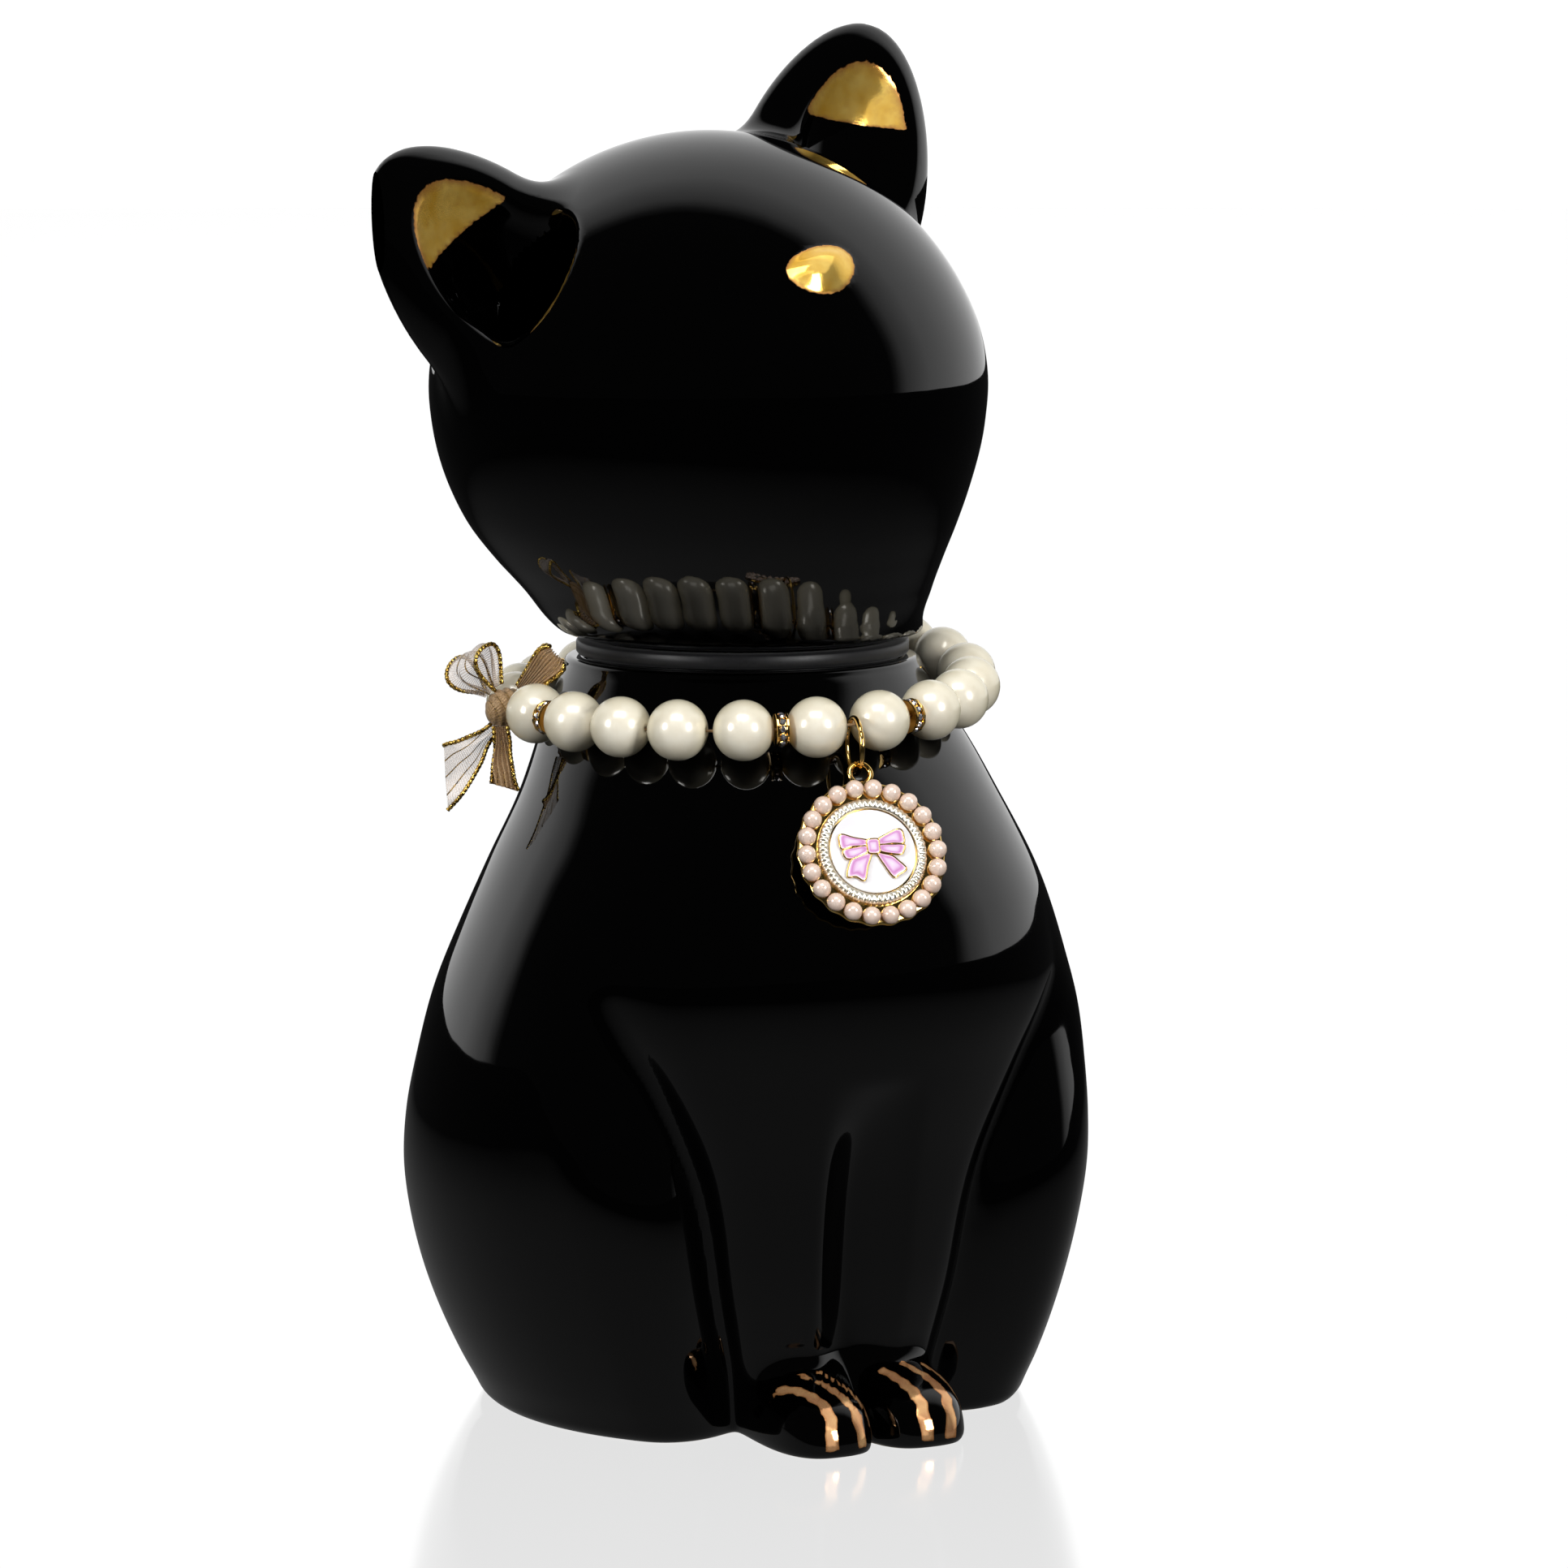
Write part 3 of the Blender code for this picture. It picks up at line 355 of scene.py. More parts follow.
def bodySkin(angle, z):
    # distance from the ring's centre to the outermost place where the joined body and paws end, found
    # along a ray
    round_ = bodyRadius(z) - softRelief(angle, z)
    steps = np.linspace(0.030, 0.064, 110)
    reach = np.array(round_)
    near = (z[:, 0] < 0.026)
    ray = steps[None, None, :]
    a, zz = angle[near][:, :, None], z[near][:, :, None]
    x, y = ray * np.sin(a), -ray * np.cos(a) - chestForward(zz)
    paws = softMin(pawField(x, y, zz, -1), pawField(x, y, zz, 1), paw["betweenPaws"])
    field = softMin(ray - round_[near][:, :, None], paws, paw["toLeg"])
    inside = field < 0
    last = len(steps) - 1 - np.argmax(inside[:, :, ::-1], axis=2)
    last = np.clip(last, 0, len(steps) - 2)
    f0 = np.take_along_axis(field, last[..., None], 2)[..., 0]
    f1 = np.take_along_axis(field, last[..., None] + 1, 2)[..., 0]
    reach[near] = steps[last] + (steps[1] - steps[0]) * np.clip(f0 / (f0 - f1), 0, 1)
    return reach


def ringRows(reach, angle, z, forward):
    # points (r sin a, -r cos a - forward, z)
    return np.stack([reach * np.sin(angle), -reach * np.cos(angle) - forward, z + 0 * angle], axis=-1)


def buildJar(material):
    columns = jar["columns"]
    angle = np.linspace(0, 2 * pi, columns, endpoint=False)[None, :]
    top = jar["height"] - jar["rimEdge"]
    z = np.concatenate([np.linspace(0.0, 0.022, jar["lowRows"]),
                        np.linspace(0.022, top, jar["highRows"])[1:]])[:, None]
    a, zz = angle + 0 * z, z + 0 * angle
    reach = bodySkin(a, zz)
    edge = paw["footEdge"]
    reach = reach - edge * (1 - np.sqrt(np.clip(1 - (1 - np.clip(zz / edge, 0, 1)) ** 2, 0, 1)))
    outer = ringRows(reach, a, zz, chestForward(zz))
    bend = np.linspace(0, pi / 2, 7)[1:]
    e = jar["rimEdge"]
    rim = [(jar["neckRadius"] - e + e * cos(b), top + e * sin(b)) for b in bend]
    rim += [(jar["boreRadius"] + e - e * sin(b), top + e * cos(b)) for b in np.linspace(0, pi / 2, 7)]
    rim += [(jar["boreRadius"], jar["height"] - jar["boreDepth"])]
    r, h = (np.array([p[k] for p in rim])[:, None] for k in (0, 1))
    neck = ringRows(r + 0 * angle, angle + 0 * r, h, 0)
    zi = np.linspace(jar["height"] - jar["boreDepth"] - 2 * jar["wall"], jar["floor"] + 0.004, 24)[:, None]
    inner = ringRows(bodyRadius(zi) - softRelief(angle + 0 * zi, zi + 0 * angle) - jar["wall"],
                     angle + 0 * zi, zi, chestForward(zi))
    foot = np.array([[jar["floor"]]])
    last = ringRows(bodyRadius(foot) - 0.0105 - softRelief(angle, foot + 0 * angle), angle, foot,
                    chestForward(foot))
    mesh = closedGrid("jarBody", np.vstack([outer, neck, inner, last]))
    co = np.empty(len(mesh.vertices) * 3)
    mesh.vertices.foreach_get("co", co)
    co = co.reshape(-1, 3)
    normal = np.empty(len(mesh.vertices) * 3)
    mesh.vertices.foreach_get("normal", normal)
    quads = gridFaces(jar["lowRows"] + 20, columns)
    addPiece("jarBody", mesh, material, "jar", "black_glaze", "jar_body")
    return co, normal.reshape(-1, 3), quads, toeStripes(co)


# Each toe stripe: its sideways places at the back, the bend and the front, and its half-width
toes = {"stripes": ((-0.0148, -0.0098, -0.0104, .00105), (-0.0103, -0.0054, -0.0050, .00100),
                    (-0.0068, -0.0018, -0.0008, .00095), (0.0041, 0.0066, 0.0064, .00105),
                    (0.0083, 0.0117, 0.0108, .00105), (0.0115, 0.0161, 0.0148, .00100)),
        "backY": -0.0445, "bendY": -0.0535, "endHeight": 0.0016, "wobble": 0.0002,
        "dropTop": 0.0105, "drop": 0.009, "top": 0.020, "reach": 0.004}


def toeStripes(co):
    # how far inside the nearest brushed stripe a point is: half-width minus its distance from the
    # stripe's line
    x, y, z = co.T
    down = np.clip((toes["dropTop"] - z) / toes["drop"], 0, 1)
    best = np.full(len(co), -0.01)
    for back, bend, front, half in toes["stripes"]:
        t = np.clip((toes["backY"] - y) / (toes["backY"] - toes["bendY"]), 0, 1)
        wobble = toes["wobble"] * np.sin(y * 2600 + back * 900)
        middle = back + (bend - back) * t ** 0.8 + (front - bend) * down * (t >= 1) + wobble
        end = np.minimum(z - toes["endHeight"], (toes["backY"] - y) + 0.0006)
        wide = half * (0.75 + 0.25 * smoothStep(0, 1, t + down))
        inside = np.minimum(wide - np.abs(x - middle), end)
        best = np.maximum(best, np.where((z < toes["top"]) & (y < toes["backY"] + toes["reach"]), inside,
                                         -0.01))
    return best


# the head: one field for its shell, ears and nose, and a net of vertices laid on it

head = {"rimHeight": 0.1270, "radius": 0.0463, "height": 0.0837, "lean": 0.0060, "wall": 0.0040,
        "plugRadius": 0.0232, "plugWall": 0.0035, "plugLength": 0.0110, "middle": 0.495,
        "outline": ((.012, .646, 0), (.032, .663, .18), (.097, .726, .44), (.161, .799, .70),
                    (.226, .868, .88),
                    (.29, .92, .96), (.42, .987, 1), (.51, 1, 1), (.60, .975, 1), (.70, .90, 1),
                    (.80, .774, 1), (.88, .621, 1), (.95, .414, 1)),
        "netStep": 0.00090, "rimEdge": 0.0024, "plugEdge": 0.0006, "boreTop": 0.016,
        "roofStart": 0.0075, "roofEdge": 0.003, "mouthEdge": 0.0008}
ear = {"width": 0.0420, "lustreSkin": 0.0004, "height": 0.0260, "thickness": 0.0180, "spread": 0.0350,
       "rise": 0.0280,
       "ahead": 0.0020, "splay": radians(34), "nod": radians(8), "taper": 0.30, "join": 0.0060,
       "hollow": (0.0142, 0.0100, 0.0190), "hollowOut": 0.0096, "hollowUp": 0.0066, "hollowEdge": 0.0026,
       "lustreFrom": 0.0085, "lustreSlope": 0.20}
nose = {"taper": 0.38, "widen": 1.22, "seat": 0.93, "width": 0.0129, "height": 0.0088, "depth": 0.0040,
        "proud": 0.0012, "rise": radians(15.5), "aside": radians(3), "join": 0.0009, "lustreEdge": 0.0006}


def headFrame():
    # the tilted face's ways across to the cat's left, up and forward
    up = unit((-0.2486, 0.1949, 0.948))
    forward = np.array((0.105, -0.972, 0.205))
    forward = unit(forward - up * forward.dot(up))
    return -np.cross(forward, up), up, forward


def headCentre():
    return np.array((-head["lean"], 0, head["rimHeight"] + head["middle"] * head["height"]))


def earFrame(side):
    # an ear's root, and its ways across, out from its hollow, and along its axis
    across, up, forward = headFrame()
    axis = (across * side * sin(ear["splay"]) + up
            * cos(ear["splay"])) * cos(ear["nod"]) + forward * sin(ear["nod"])
    root = headCentre() + across * side * ear["spread"] + up * ear["rise"] + forward * ear["ahead"]
    face = unit(forward - axis * forward.dot(axis))
    return root, -np.cross(axis, face), face, axis


def noseFrame():
    across, up, forward = headFrame()
    out = (forward * cos(nose["rise"]) + up
           * sin(nose["rise"])) * cos(nose["aside"]) + across * sin(nose["aside"])
    side = -unit(np.cross(out, up))
    rise = -np.cross(side, out)
    place = headCentre() + out * (head["radius"] * nose["seat"] - nose["depth"] + nose["proud"])
    return place, side, rise, out


def lumpField(u, w, t, sizes, taper=0.0):
    # signed distance of an ellipsoid that narrows along t: k0 (k0 - 1) / k1
    slim = 1 - taper * (np.clip(t / sizes[2], -1, 1.3) + 1) / 2
    a, b, c = sizes[0] * slim, sizes[1] * slim, sizes[2]
    k0 = np.sqrt((u / a) ** 2 + (w / b) ** 2 + (t / c) ** 2)
    k1 = np.sqrt((u / a**2) ** 2 + (w / b**2) ** 2 + (t / c**2) ** 2)
    return k0 * (k0 - 1) / np.maximum(k1, 1e-6)


def skullTable():
    # the outline as distances from the head's middle by the angle above the level
    share = np.array([h for h, _, _ in head["outline"]])
    r = np.array([r for _, r, _ in head["outline"]]) * head["radius"]
    rise = (share - head["middle"]) * head["height"]
    angles, reach = np.arctan2(rise, r), np.hypot(rise, r)
    crown = (1 - head["middle"]) * head["height"]
    angles = np.concatenate([angles, [pi / 2, pi - angles[-1]]])
    return angles, np.concatenate([reach, [crown, reach[-1]]])


skullAngles, skullReach = skullTable()
leanTable = ([h for h, _, _ in head["outline"]], [lean * head["lean"] for _, _, lean in head["outline"]])


def skullField(x, y, z, inset=0.0):
    # |q| - reach(angle), over the slope's length, with q taken from the leaning middle line
    share = (z - head["rimHeight"]) / head["height"]
    lean = smoothCurve(*leanTable, share)
    deep = 1 - 0.07 * np.clip((share - 0.05) / 0.4, 0, 1)
    ring = np.hypot((x + lean) / 1.01, y / deep)
    rise = (share - head["middle"]) * head["height"]
    angle = np.arctan2(rise, ring)
    reach = smoothCurve(skullAngles, skullReach, angle)
    slope = (smoothCurve(skullAngles, skullReach, angle + 0.01) - reach) / 0.01
    return (np.hypot(ring, rise) - reach) / np.sqrt(1 + (slope / reach) ** 2) + inset


def local(x, y, z, place, ways):
    # a point's coordinates along three ways from a place
    dx, dy, dz = x - place[0], y - place[1], z - place[2]
    return [dx * way[0] + dy * way[1] + dz * way[2] for way in ways]


def hollowField(x, y, z, side):
    root, across, face, axis = earFrame(side)
    u, w, t = local(x, y, z, root, (across, face, axis))
    return lumpField(u, w - ear["hollowOut"], t - ear["hollowUp"], ear["hollow"], ear["taper"])


def noseField(x, y, z, grow=0.0):
    # an ellipsoid that narrows towards the mouth, so that its face is a rounded triangle
    place, side, rise, out = noseFrame()
    u, w, t = local(x, y, z, place, (side, out, -rise))
    sizes = (nose["width"] / 2 * nose["widen"] + grow, nose["depth"] + grow, nose["height"] / 2 + grow)
    return lumpField(u, w, t, sizes, nose["taper"])


def headField(x, y, z):
    # the skull joined softly to both ears and the nose, cut level at the rim, with the ears' hollows
    # taken out
    solid = skullField(x, y, z)
    for side in (-1, 1):
        root, across, face, axis = earFrame(side)
        u, w, t = local(x, y, z, root, (across, face, axis))
        lump = lumpField(u, w, t, (ear["width"] / 2, ear["thickness"] / 2, ear["height"]), ear["taper"])
        solid = softMin(solid, lump, ear["join"])
    solid = softMin(solid, noseField(x, y, z), nose["join"])
    for side in (-1, 1):
        solid = -softMin(-solid, hollowField(x, y, z, side), ear["hollowEdge"])
    solid = -softMin(-solid, z - head["rimHeight"], head["rimEdge"])
    ring = np.hypot(x, y)
    plug = np.maximum(ring - head["plugRadius"], np.abs(z - head["rimHeight"]) - head["plugLength"])
    solid = softMin(solid, plug, head["plugEdge"])
    bore = np.maximum(ring - head["plugRadius"] + head["plugWall"], z - head["rimHeight"] - head["boreTop"])
    cavity = softMin(bore, np.maximum(skullField(x, y, z, head["wall"]),
                                      head["rimHeight"] + head["roofStart"] - z),
                     head["roofEdge"])
    return -softMin(-solid, cavity, head["mouthEdge"])


def netOnField(field, low, high, step):
    # a vertex in each cell that the surface passes through, at the mean of its crossings, and a face for
    # each crossed edge; then each vertex is moved down the slope on to the surface
    axes = [np.arange(low[k], high[k] + step, step) for k in range(3)]
    shape = tuple(len(a) for a in axes)
    value = np.empty(shape)
    for i, x in enumerate(axes[0]):
        yy, zz = np.meshgrid(axes[1], axes[2], indexing="ij")
        value[i] = field(x + 0 * yy, yy, zz)
    inside = value < 0
    total = np.zeros((*shape, 3))
    count = np.zeros(shape)
    crossings = []
    for d in range(3):
        a = tuple(slice(0, -1) if k == d else slice(None) for k in range(3))
        b = tuple(slice(1, None) if k == d else slice(None) for k in range(3))
        index = np.argwhere(inside[a] != inside[b])
        after = index.copy()
        after[:, d] += 1
        v0, v1 = value[tuple(index.T)], value[tuple(after.T)]
        place = np.array([axes[k][index[:, k]] for k in range(3)]).T
        place[:, d] += step * v0 / (v0 - v1)
        crossings.append((d, index, inside[tuple(index.T)]))
        e, f = [k for k in range(3) if k != d]
        for de in (0, 1):
            for df in (0, 1):
                cell = index.copy()
                cell[:, e] -= de
                cell[:, f] -= df
                np.add.at(total, tuple(cell.T), place)
                np.add.at(count, tuple(cell.T), 1)
    number = np.full(shape, -1)
    used = np.argwhere(count > 0)
    number[tuple(used.T)] = np.arange(len(used))
    points = total[tuple(used.T)] / count[tuple(used.T)][:, None]
    faces = []
    for d, index, flip in crossings:
        e, f = (d + 1) % 3, (d + 2) % 3
        corners = []
        for de, df in ((0, 0), (1, 0), (1, 1), (0, 1)):
            cell = index.copy()
            cell[:, e] -= de
            cell[:, f] -= df
            corners.append(number[tuple(cell.T)])
        quad = np.stack(corners, axis=1)
        faces.append(np.where(flip[:, None], quad, quad[:, ::-1]))
    for _ in range(3):
        slope, here = slopeOf(field, points)
        move = here[:, None] * slope / np.maximum((slope**2).sum(1), 0.05)[:, None]
        far = np.linalg.norm(move, axis=1, keepdims=True)
        points = points - move * np.minimum(1, step * 0.5 / np.maximum(far, 1e-9))
    return points, np.vstack(faces)


def slopeOf(field, points, h=0.00012):
    # the field's gradient by central differences, and its value
    x, y, z = points.T
    slope = np.stack([field(x + h, y, z) - field(x - h, y, z), field(x, y + h, z) - field(x, y - h, z),
                      field(x, y, z + h) - field(x, y, z - h)], axis=1) / (2 * h)
    return slope, field(x, y, z)


def earLustre(x, y, z):
    # the gold lies in the tip half of each hollow: inside the cup's skin and above a slanting line
    best = np.full(len(x), -0.01)
    for side in (-1, 1):
        root, across, face, axis = earFrame(side)
        u, _, t = local(x, y, z, root, (across, face, axis))
        cup = ear["lustreSkin"] - hollowField(x, y, z, side)
        line = t - ear["lustreFrom"] + ear["lustreSlope"] * u * side
        best = np.maximum(best, np.minimum(cup, line))
    return best


def buildHead(material):
    points, quads = netOnField(headField, (-0.066, -0.050, 0.1145), (0.060, 0.050, 0.2295), head["netStep"])
    slope, _ = slopeOf(headField, points)
    mesh = makeMesh("headLid", points, [quads])
    x, y, z = points.T
    nosePatch = np.where(y < -0.02, nose["lustreEdge"] - noseField(x, y, z), -0.01)
    normals = unit(slope)
    mesh.normals_split_custom_set_from_vertices([tuple(n) for n in normals])
    addPiece("headLid", mesh, material, "head", "black_glaze", "head_lid")
    return points, normals, quads, np.maximum(earLustre(x, y, z), nosePatch)


# materials of the ceramic

def blackGlazedStoneware():
    # slip-cast stoneware under a thick black gloss glaze: a mirror-like skin with a faint flow in it,
    # swells about 15 mm apart; the foot is bare clay
    material, tree, shader = newMaterial("blackGlazedStoneware", {"IOR": 1.5})
    coords = addNode(tree, "ShaderNodeTexCoord")
    place = addNode(tree, "ShaderNodeSeparateXYZ", links={0: coords.outputs["Object"]})
    depth = noise(tree, coords, 60.0, 2.0)
    black = ramp(tree, depth, ((0.3, "#030304"), (0.7, "#070709")))
    bare = mapFrom(tree, 0.0003, 0.0001, place.outputs["Z"])
    clay = noise(tree, coords, 1800.0, 4.0)
    clayColour = ramp(tree, clay, ((0.3, "#B9AC98"), (0.7, "#D8CCB8")))
    colour = mixColour(tree, bare, black, clayColour)
    polish = mapTo(tree, 0.02, 0.045, depth)
    rough = addNode(tree, "ShaderNodeMix", {3: 0.75}, {"Factor": bare, 2: polish})
    swell = bumpOf(tree, 0.18, 0.0004, depth)
    feed(tree, shader, {"Base Color": colour, "Roughness": rough.outputs[0], "Normal": swell})
    return material


stoneware = blackGlazedStoneware()
jarSkin = buildJar(stoneware)
print("jar built:", len(jarSkin[0]), "vertices")
headSkin = buildHead(stoneware)
print("head built:", len(headSkin[0]), "vertices")


# gold lustre: a thin film lifted off the glaze where the "lustre" attribute is above zero

film = {"lift": 0.00002, "margin": 0.0016}


def lustreFilm(name, points, normals, quads, lustre, material, body):
    # the faces near the patches, moved out along their normals; the material trims them to the brushed edge
    keep = (lustre[quads] > -film["margin"]).any(axis=1)
    used = np.unique(quads[keep])
    number = np.full(len(points), -1)
    number[used] = np.arange(len(used))
    mesh = makeMesh(name, points[used] + normals[used] * film["lift"], [number[quads[keep]]])
    setAttribute(mesh, "lustre", lustre[used])
    mesh.normals_split_custom_set_from_vertices([tuple(n) for n in normals[used]])
    return addPiece(name, mesh, material, body, "gold_metal")


# bead collar

collar = {"pearl": 0.0100, "bore": 0.0011, "pearlGap": 0.0002, "groupGap": 0.0008, "sideGroup": 4,
          "sideGroups": 5, "rondelle": 0.0057, "pitch": 0.0020, "bend": 0.17, "thread": 0.0005,
          "tieGap": 0.0050,
          "forward": 0.0034, "stretch": 0.0006, "turn": 0.45, "shift": 0.0004, "shoulderGap": 0.0007,
          "ringGap": 0.0015, "fitGap": 0.0003, "skinPlay": 0.00007, "stones": 12}


def restHeight(angle, distance):
    # the height at which a pearl at this distance from the neck's axis lies on the shoulder
    z = np.linspace(0.70 * jar["height"], jar["height"] - jar["rimEdge"], 200)
    r, forward = bodyRadius(z), chestForward(z)
    reach = forward * cos(angle) + np.sqrt(r**2 - (forward * sin(angle)) ** 2)
    slope = np.gradient(reach, z)
    size = np.sqrt(1 + slope**2)
    off = collar["pearl"] / 2 + collar["shoulderGap"]
    return float(np.interp(-distance, -(reach + off / size), z - off * slope / size))


def gapList():
    # the spaces between neighbouring pearls, in order from the jump ring towards the cat's left
    gaps = [("ring", collar["ringGap"]), ("rondelle", collar["pitch"])]
    for group in range(collar["sideGroups"]):
        inside = [("plain", collar["pearlGap"])] * (collar["sideGroup"] - 1)
        if group == collar["sideGroups"] - 2:
            inside[-1] = ("tie", collar["tieGap"])
        if group == collar["sideGroups"] - 1:
            inside[-1] = ("plain", collar["groupGap"])
        gaps += inside + [("rondelle", collar["pitch"])]
    return gaps


def collarPath():
    # the middle of each gap on the loop: distance = mean + forward cos(a + turn) + stretch cos 2a, at
    # rest height
    gaps = gapList()
    length = sum(size + collar["pearl"] for _, size in gaps)
    a = np.linspace(0, 2 * pi, 721)
    mean = length / (2 * pi)
    for _ in range(4):
        d = mean + collar["forward"] * np.cos(a + collar["turn"]) + collar["stretch"] * np.cos(2 * a)
        z = np.array([restHeight(*pair) for pair in zip(a, d)])
        curve = np.stack([d * np.sin(a), -d * np.cos(a), z], axis=1)
        along = np.concatenate([[0], np.cumsum(np.linalg.norm(np.diff(curve, axis=0), axis=1))])
        mean *= 1 + (length * 1.002 - along[-1]) / along[-1]
    size = np.array([g for _, g in gaps])
    steps = np.concatenate([[0], np.cumsum(size[:-1] / 2 + collar["pearl"] + size[1:] / 2)])
    steps = (steps - collar["shift"]) * along[-1] / length
    return np.stack([np.interp(steps, along, curve[:, k], period=along[-1]) for k in range(3)],
                    axis=1), gaps


def pearlRows(centre, axis, radius, bore, rows=26, columns=44):
    # a ball drilled along its axis: radius sin a, radius cos a, from one end of the bore to the other
    start = np.arcsin(bore / radius)
    profile = [(bore * 0.6, radius * cos(start) * 0.93)]
    profile += [(radius * sin(a), radius * cos(a)) for a in np.linspace(start, pi - start, rows)]
    profile += [(bore * 0.6, -radius * cos(start) * 0.93)]
    return turnedRows(profile, columns, axis, centre)


def rondelleRows(centre, axis):
    # a dished metal spacer: two waved flanges with a channel between them for the stones
    clear, middle = collar["pearl"] / 2 + collar["fitGap"], (collar["pearl"] + collar["pitch"]) / 2
    bore, rim = collar["bore"] / 2, collar["rondelle"] / 2
    waist = rim * 0.80

    def half(r):
        return middle - sqrt(clear**2 - r**2) - collar["bend"] * r

    profile = [(bore, half(bore)), (bore, -half(bore)), (waist, -half(waist) * 0.98),
               (rim * 0.96, -half(rim)),
               (rim, -half(rim) * 0.93), (rim, -half(rim) * 0.66), (rim * 0.96, -half(rim) * 0.60),
               (waist, -half(rim) * 0.56), (waist, half(rim) * 0.56), (rim * 0.96, half(rim) * 0.60),
               (rim, half(rim) * 0.66), (rim, half(rim) * 0.93), (rim * 0.96, half(rim)),
               (waist, half(waist) * 0.98)]
    rows = turnedRows(profile, 60, axis, centre)
    a = np.linspace(0, 2 * pi, 60, endpoint=False)
    wave = 1 - 0.03 * (1 - np.cos(12 * a)) / 2
    big = np.array([r >= rim * 0.95 for r, _ in profile])
    shaped = centre + (rows - centre) * np.where(big[:, None], wave, 1)[..., None]
    return shaped


def stonesOf(centre, axis):
    # foiled crystals set in the channel: each a table, a crown of eight facets and a girdle
    axis = unit(axis)
    side = unit(np.cross((0.2, 0.1, 0.97), axis))
    rise = np.cross(axis, side)
    profile = [(0.00042, -0.0001), (0.00056, 0.00010), (0.00054, 0.00018), (0.00030, 0.00038)]
    parts = []
    for a in np.linspace(0, 2 * pi, collar["stones"], endpoint=False):
        out = side * cos(a) + rise * sin(a)
        rows = turnedRows(profile, 8, out, centre + out * collar["rondelle"] * 0.42)
        points = np.vstack([rows.reshape(-1, 3), rows[0].mean(0), rows[-1].mean(0)])
        parts.append((points, [gridFaces(4, 8), capFaces(0, 8, 32, True), capFaces(24, 8, 33, False)]))
    return joinMeshes(parts)


def buildCollar(pearl, gold, crystal, thread):
    points, gaps = collarPath()
    count = len(points)
    beads, spacers = 0, 0
    for i, (kind, size) in enumerate(gaps):
        start, end = points[i], points[(i + 1) % count]
        share = (size + collar["pearl"]) / (size + 2 * collar["pearl"] + gaps[(i + 1) % count][1])
        along = unit(end - start)
        beads += 1
        name = f"pearl_{beads:02d}"
        rows = pearlRows(start + (end - start) * share, along, collar["pearl"] / 2 - collar["skinPlay"],
                         collar["bore"] / 2)
        addPiece(name.replace("_", "Bead"), closedGrid(name, rows, wrapRows=True), pearl, "collar", "pearl",
                 name)
        if kind == "rondelle":
            spacers += 1
            mean = unit(along + unit(start - points[i - 1]))
            mesh = closedGrid("rondelle", rondelleRows(start, mean), wrapRows=True)
            mesh.set_sharp_from_angle(angle=radians(35))
            addPiece(f"rondelleMetal{spacers}", mesh, gold, "collar", "gold_metal", f"rondelle_{spacers}")
            addPiece(f"rondelleStones{spacers}", makeMesh("stones", *stonesOf(start, mean), smooth=False),
                     crystal, "collar", "gold_metal")
    rows = sweptTube(points, collar["thread"] / 2, 10, closed=True)
    addPiece("elasticThread", closedGrid("thread", rows, wrapRows=True), thread, "collar", "thread",
             "elastic_thread")
    return points, gaps


# charm

charm = {"tilt": radians(28), "yaw": radians(10), "ring": 0.0098, "ringWire": 0.00085, "radius": 0.0123,
         "back": 0.0010, "bandOuter": 0.0089, "bandInner": 0.0073, "bandHeight": 0.0012, "loop": 0.0044,
         "loopWire": 0.00095,
         "bead": 0.0030, "beadCircle": 0.0108, "beads": 22, "enamel": 0.0006, "gap": 0.0003, "notches": 60,
         "notchDepth": 0.00025, "bowWire": 0.00013,
         "ringCentre": (-0.00079, -0.04424, 0.11350), "centre": (-0.00238, -0.05324, 0.09713)}
# The bow's closed outlines on the enamel in millimetres from its knot, across and up, and each one's height
charmBow = {"lift": 0.9,
            "leftLoop": ((-.8, .8), (-3.0, 1.35), (-4.7, 1.95), (-5.35, 1.75), (-5.5, .9), (-5.2, -.5),
                         (-3.4, -.15), (-.9, -.05)),
            "leftFold": ((-.8, -.1), (-3.2, -.35), (-5.0, -.75), (-4.95, -1.7), (-4.5, -2.2), (-3.2, -2.1),
                         (-.8, -1.0)),
            "rightLoop": ((.8, .8), (2.6, 1.75), (4.2, 2.45), (5.0, 2.35), (5.25, 1.4), (5.1, .1),
                          (3.4, .15), (.9, 0)),
            "rightFold": ((.8, -.05), (3.2, -.05), (5.15, -.15), (5.0, -1.1), (4.5, -1.7), (3.2, -1.65),
                          (.8, -1.0)),
            "leftTail": ((-.5, -1.2), (-2.4, -1.7), (-4.0, -2.5), (-4.9, -5.1), (-3.5, -5.2), (-2.1, -5.9),
                         (-1.3, -3.6), (-.4, -1.5)),
            "rightTail": ((.4, -1.2), (1.4, -3.4), (2.7, -5.5), (3.7, -5.1), (5.0, -4.2), (4.0, -2.9),
                          (2.9, -1.9), (1.5, -1.5)),
            "knot": ((-.95, .75), (0, 1.0), (.95, .85), (1.0, -.2), (.9, -1.35), (0, -1.5), (-.9, -1.3),
                     (-1.0, -.2))}


def charmWays():
    # across to the cat's left, up the charm's face, out from it, and the level way ahead
    ahead = np.array((-sin(charm["yaw"]), -cos(charm["yaw"]), 0))
    across = np.array((cos(charm["yaw"]), -sin(charm["yaw"]), 0))
    up = np.array((0, 0, cos(charm["tilt"]))) - ahead * sin(charm["tilt"])
    return across, up, ahead * cos(charm["tilt"]) + np.array((0, 0, sin(charm["tilt"]))), ahead


def onCharm(flat):
    # (across, up, out) in metres on the charm's face as points in space
    across, up, out, _ = charmWays()
    flat = np.asarray(flat, float)
    return np.array(charm["centre"]) + flat[..., :1] * across + flat[..., 1:2] * up + flat[..., 2:] * out


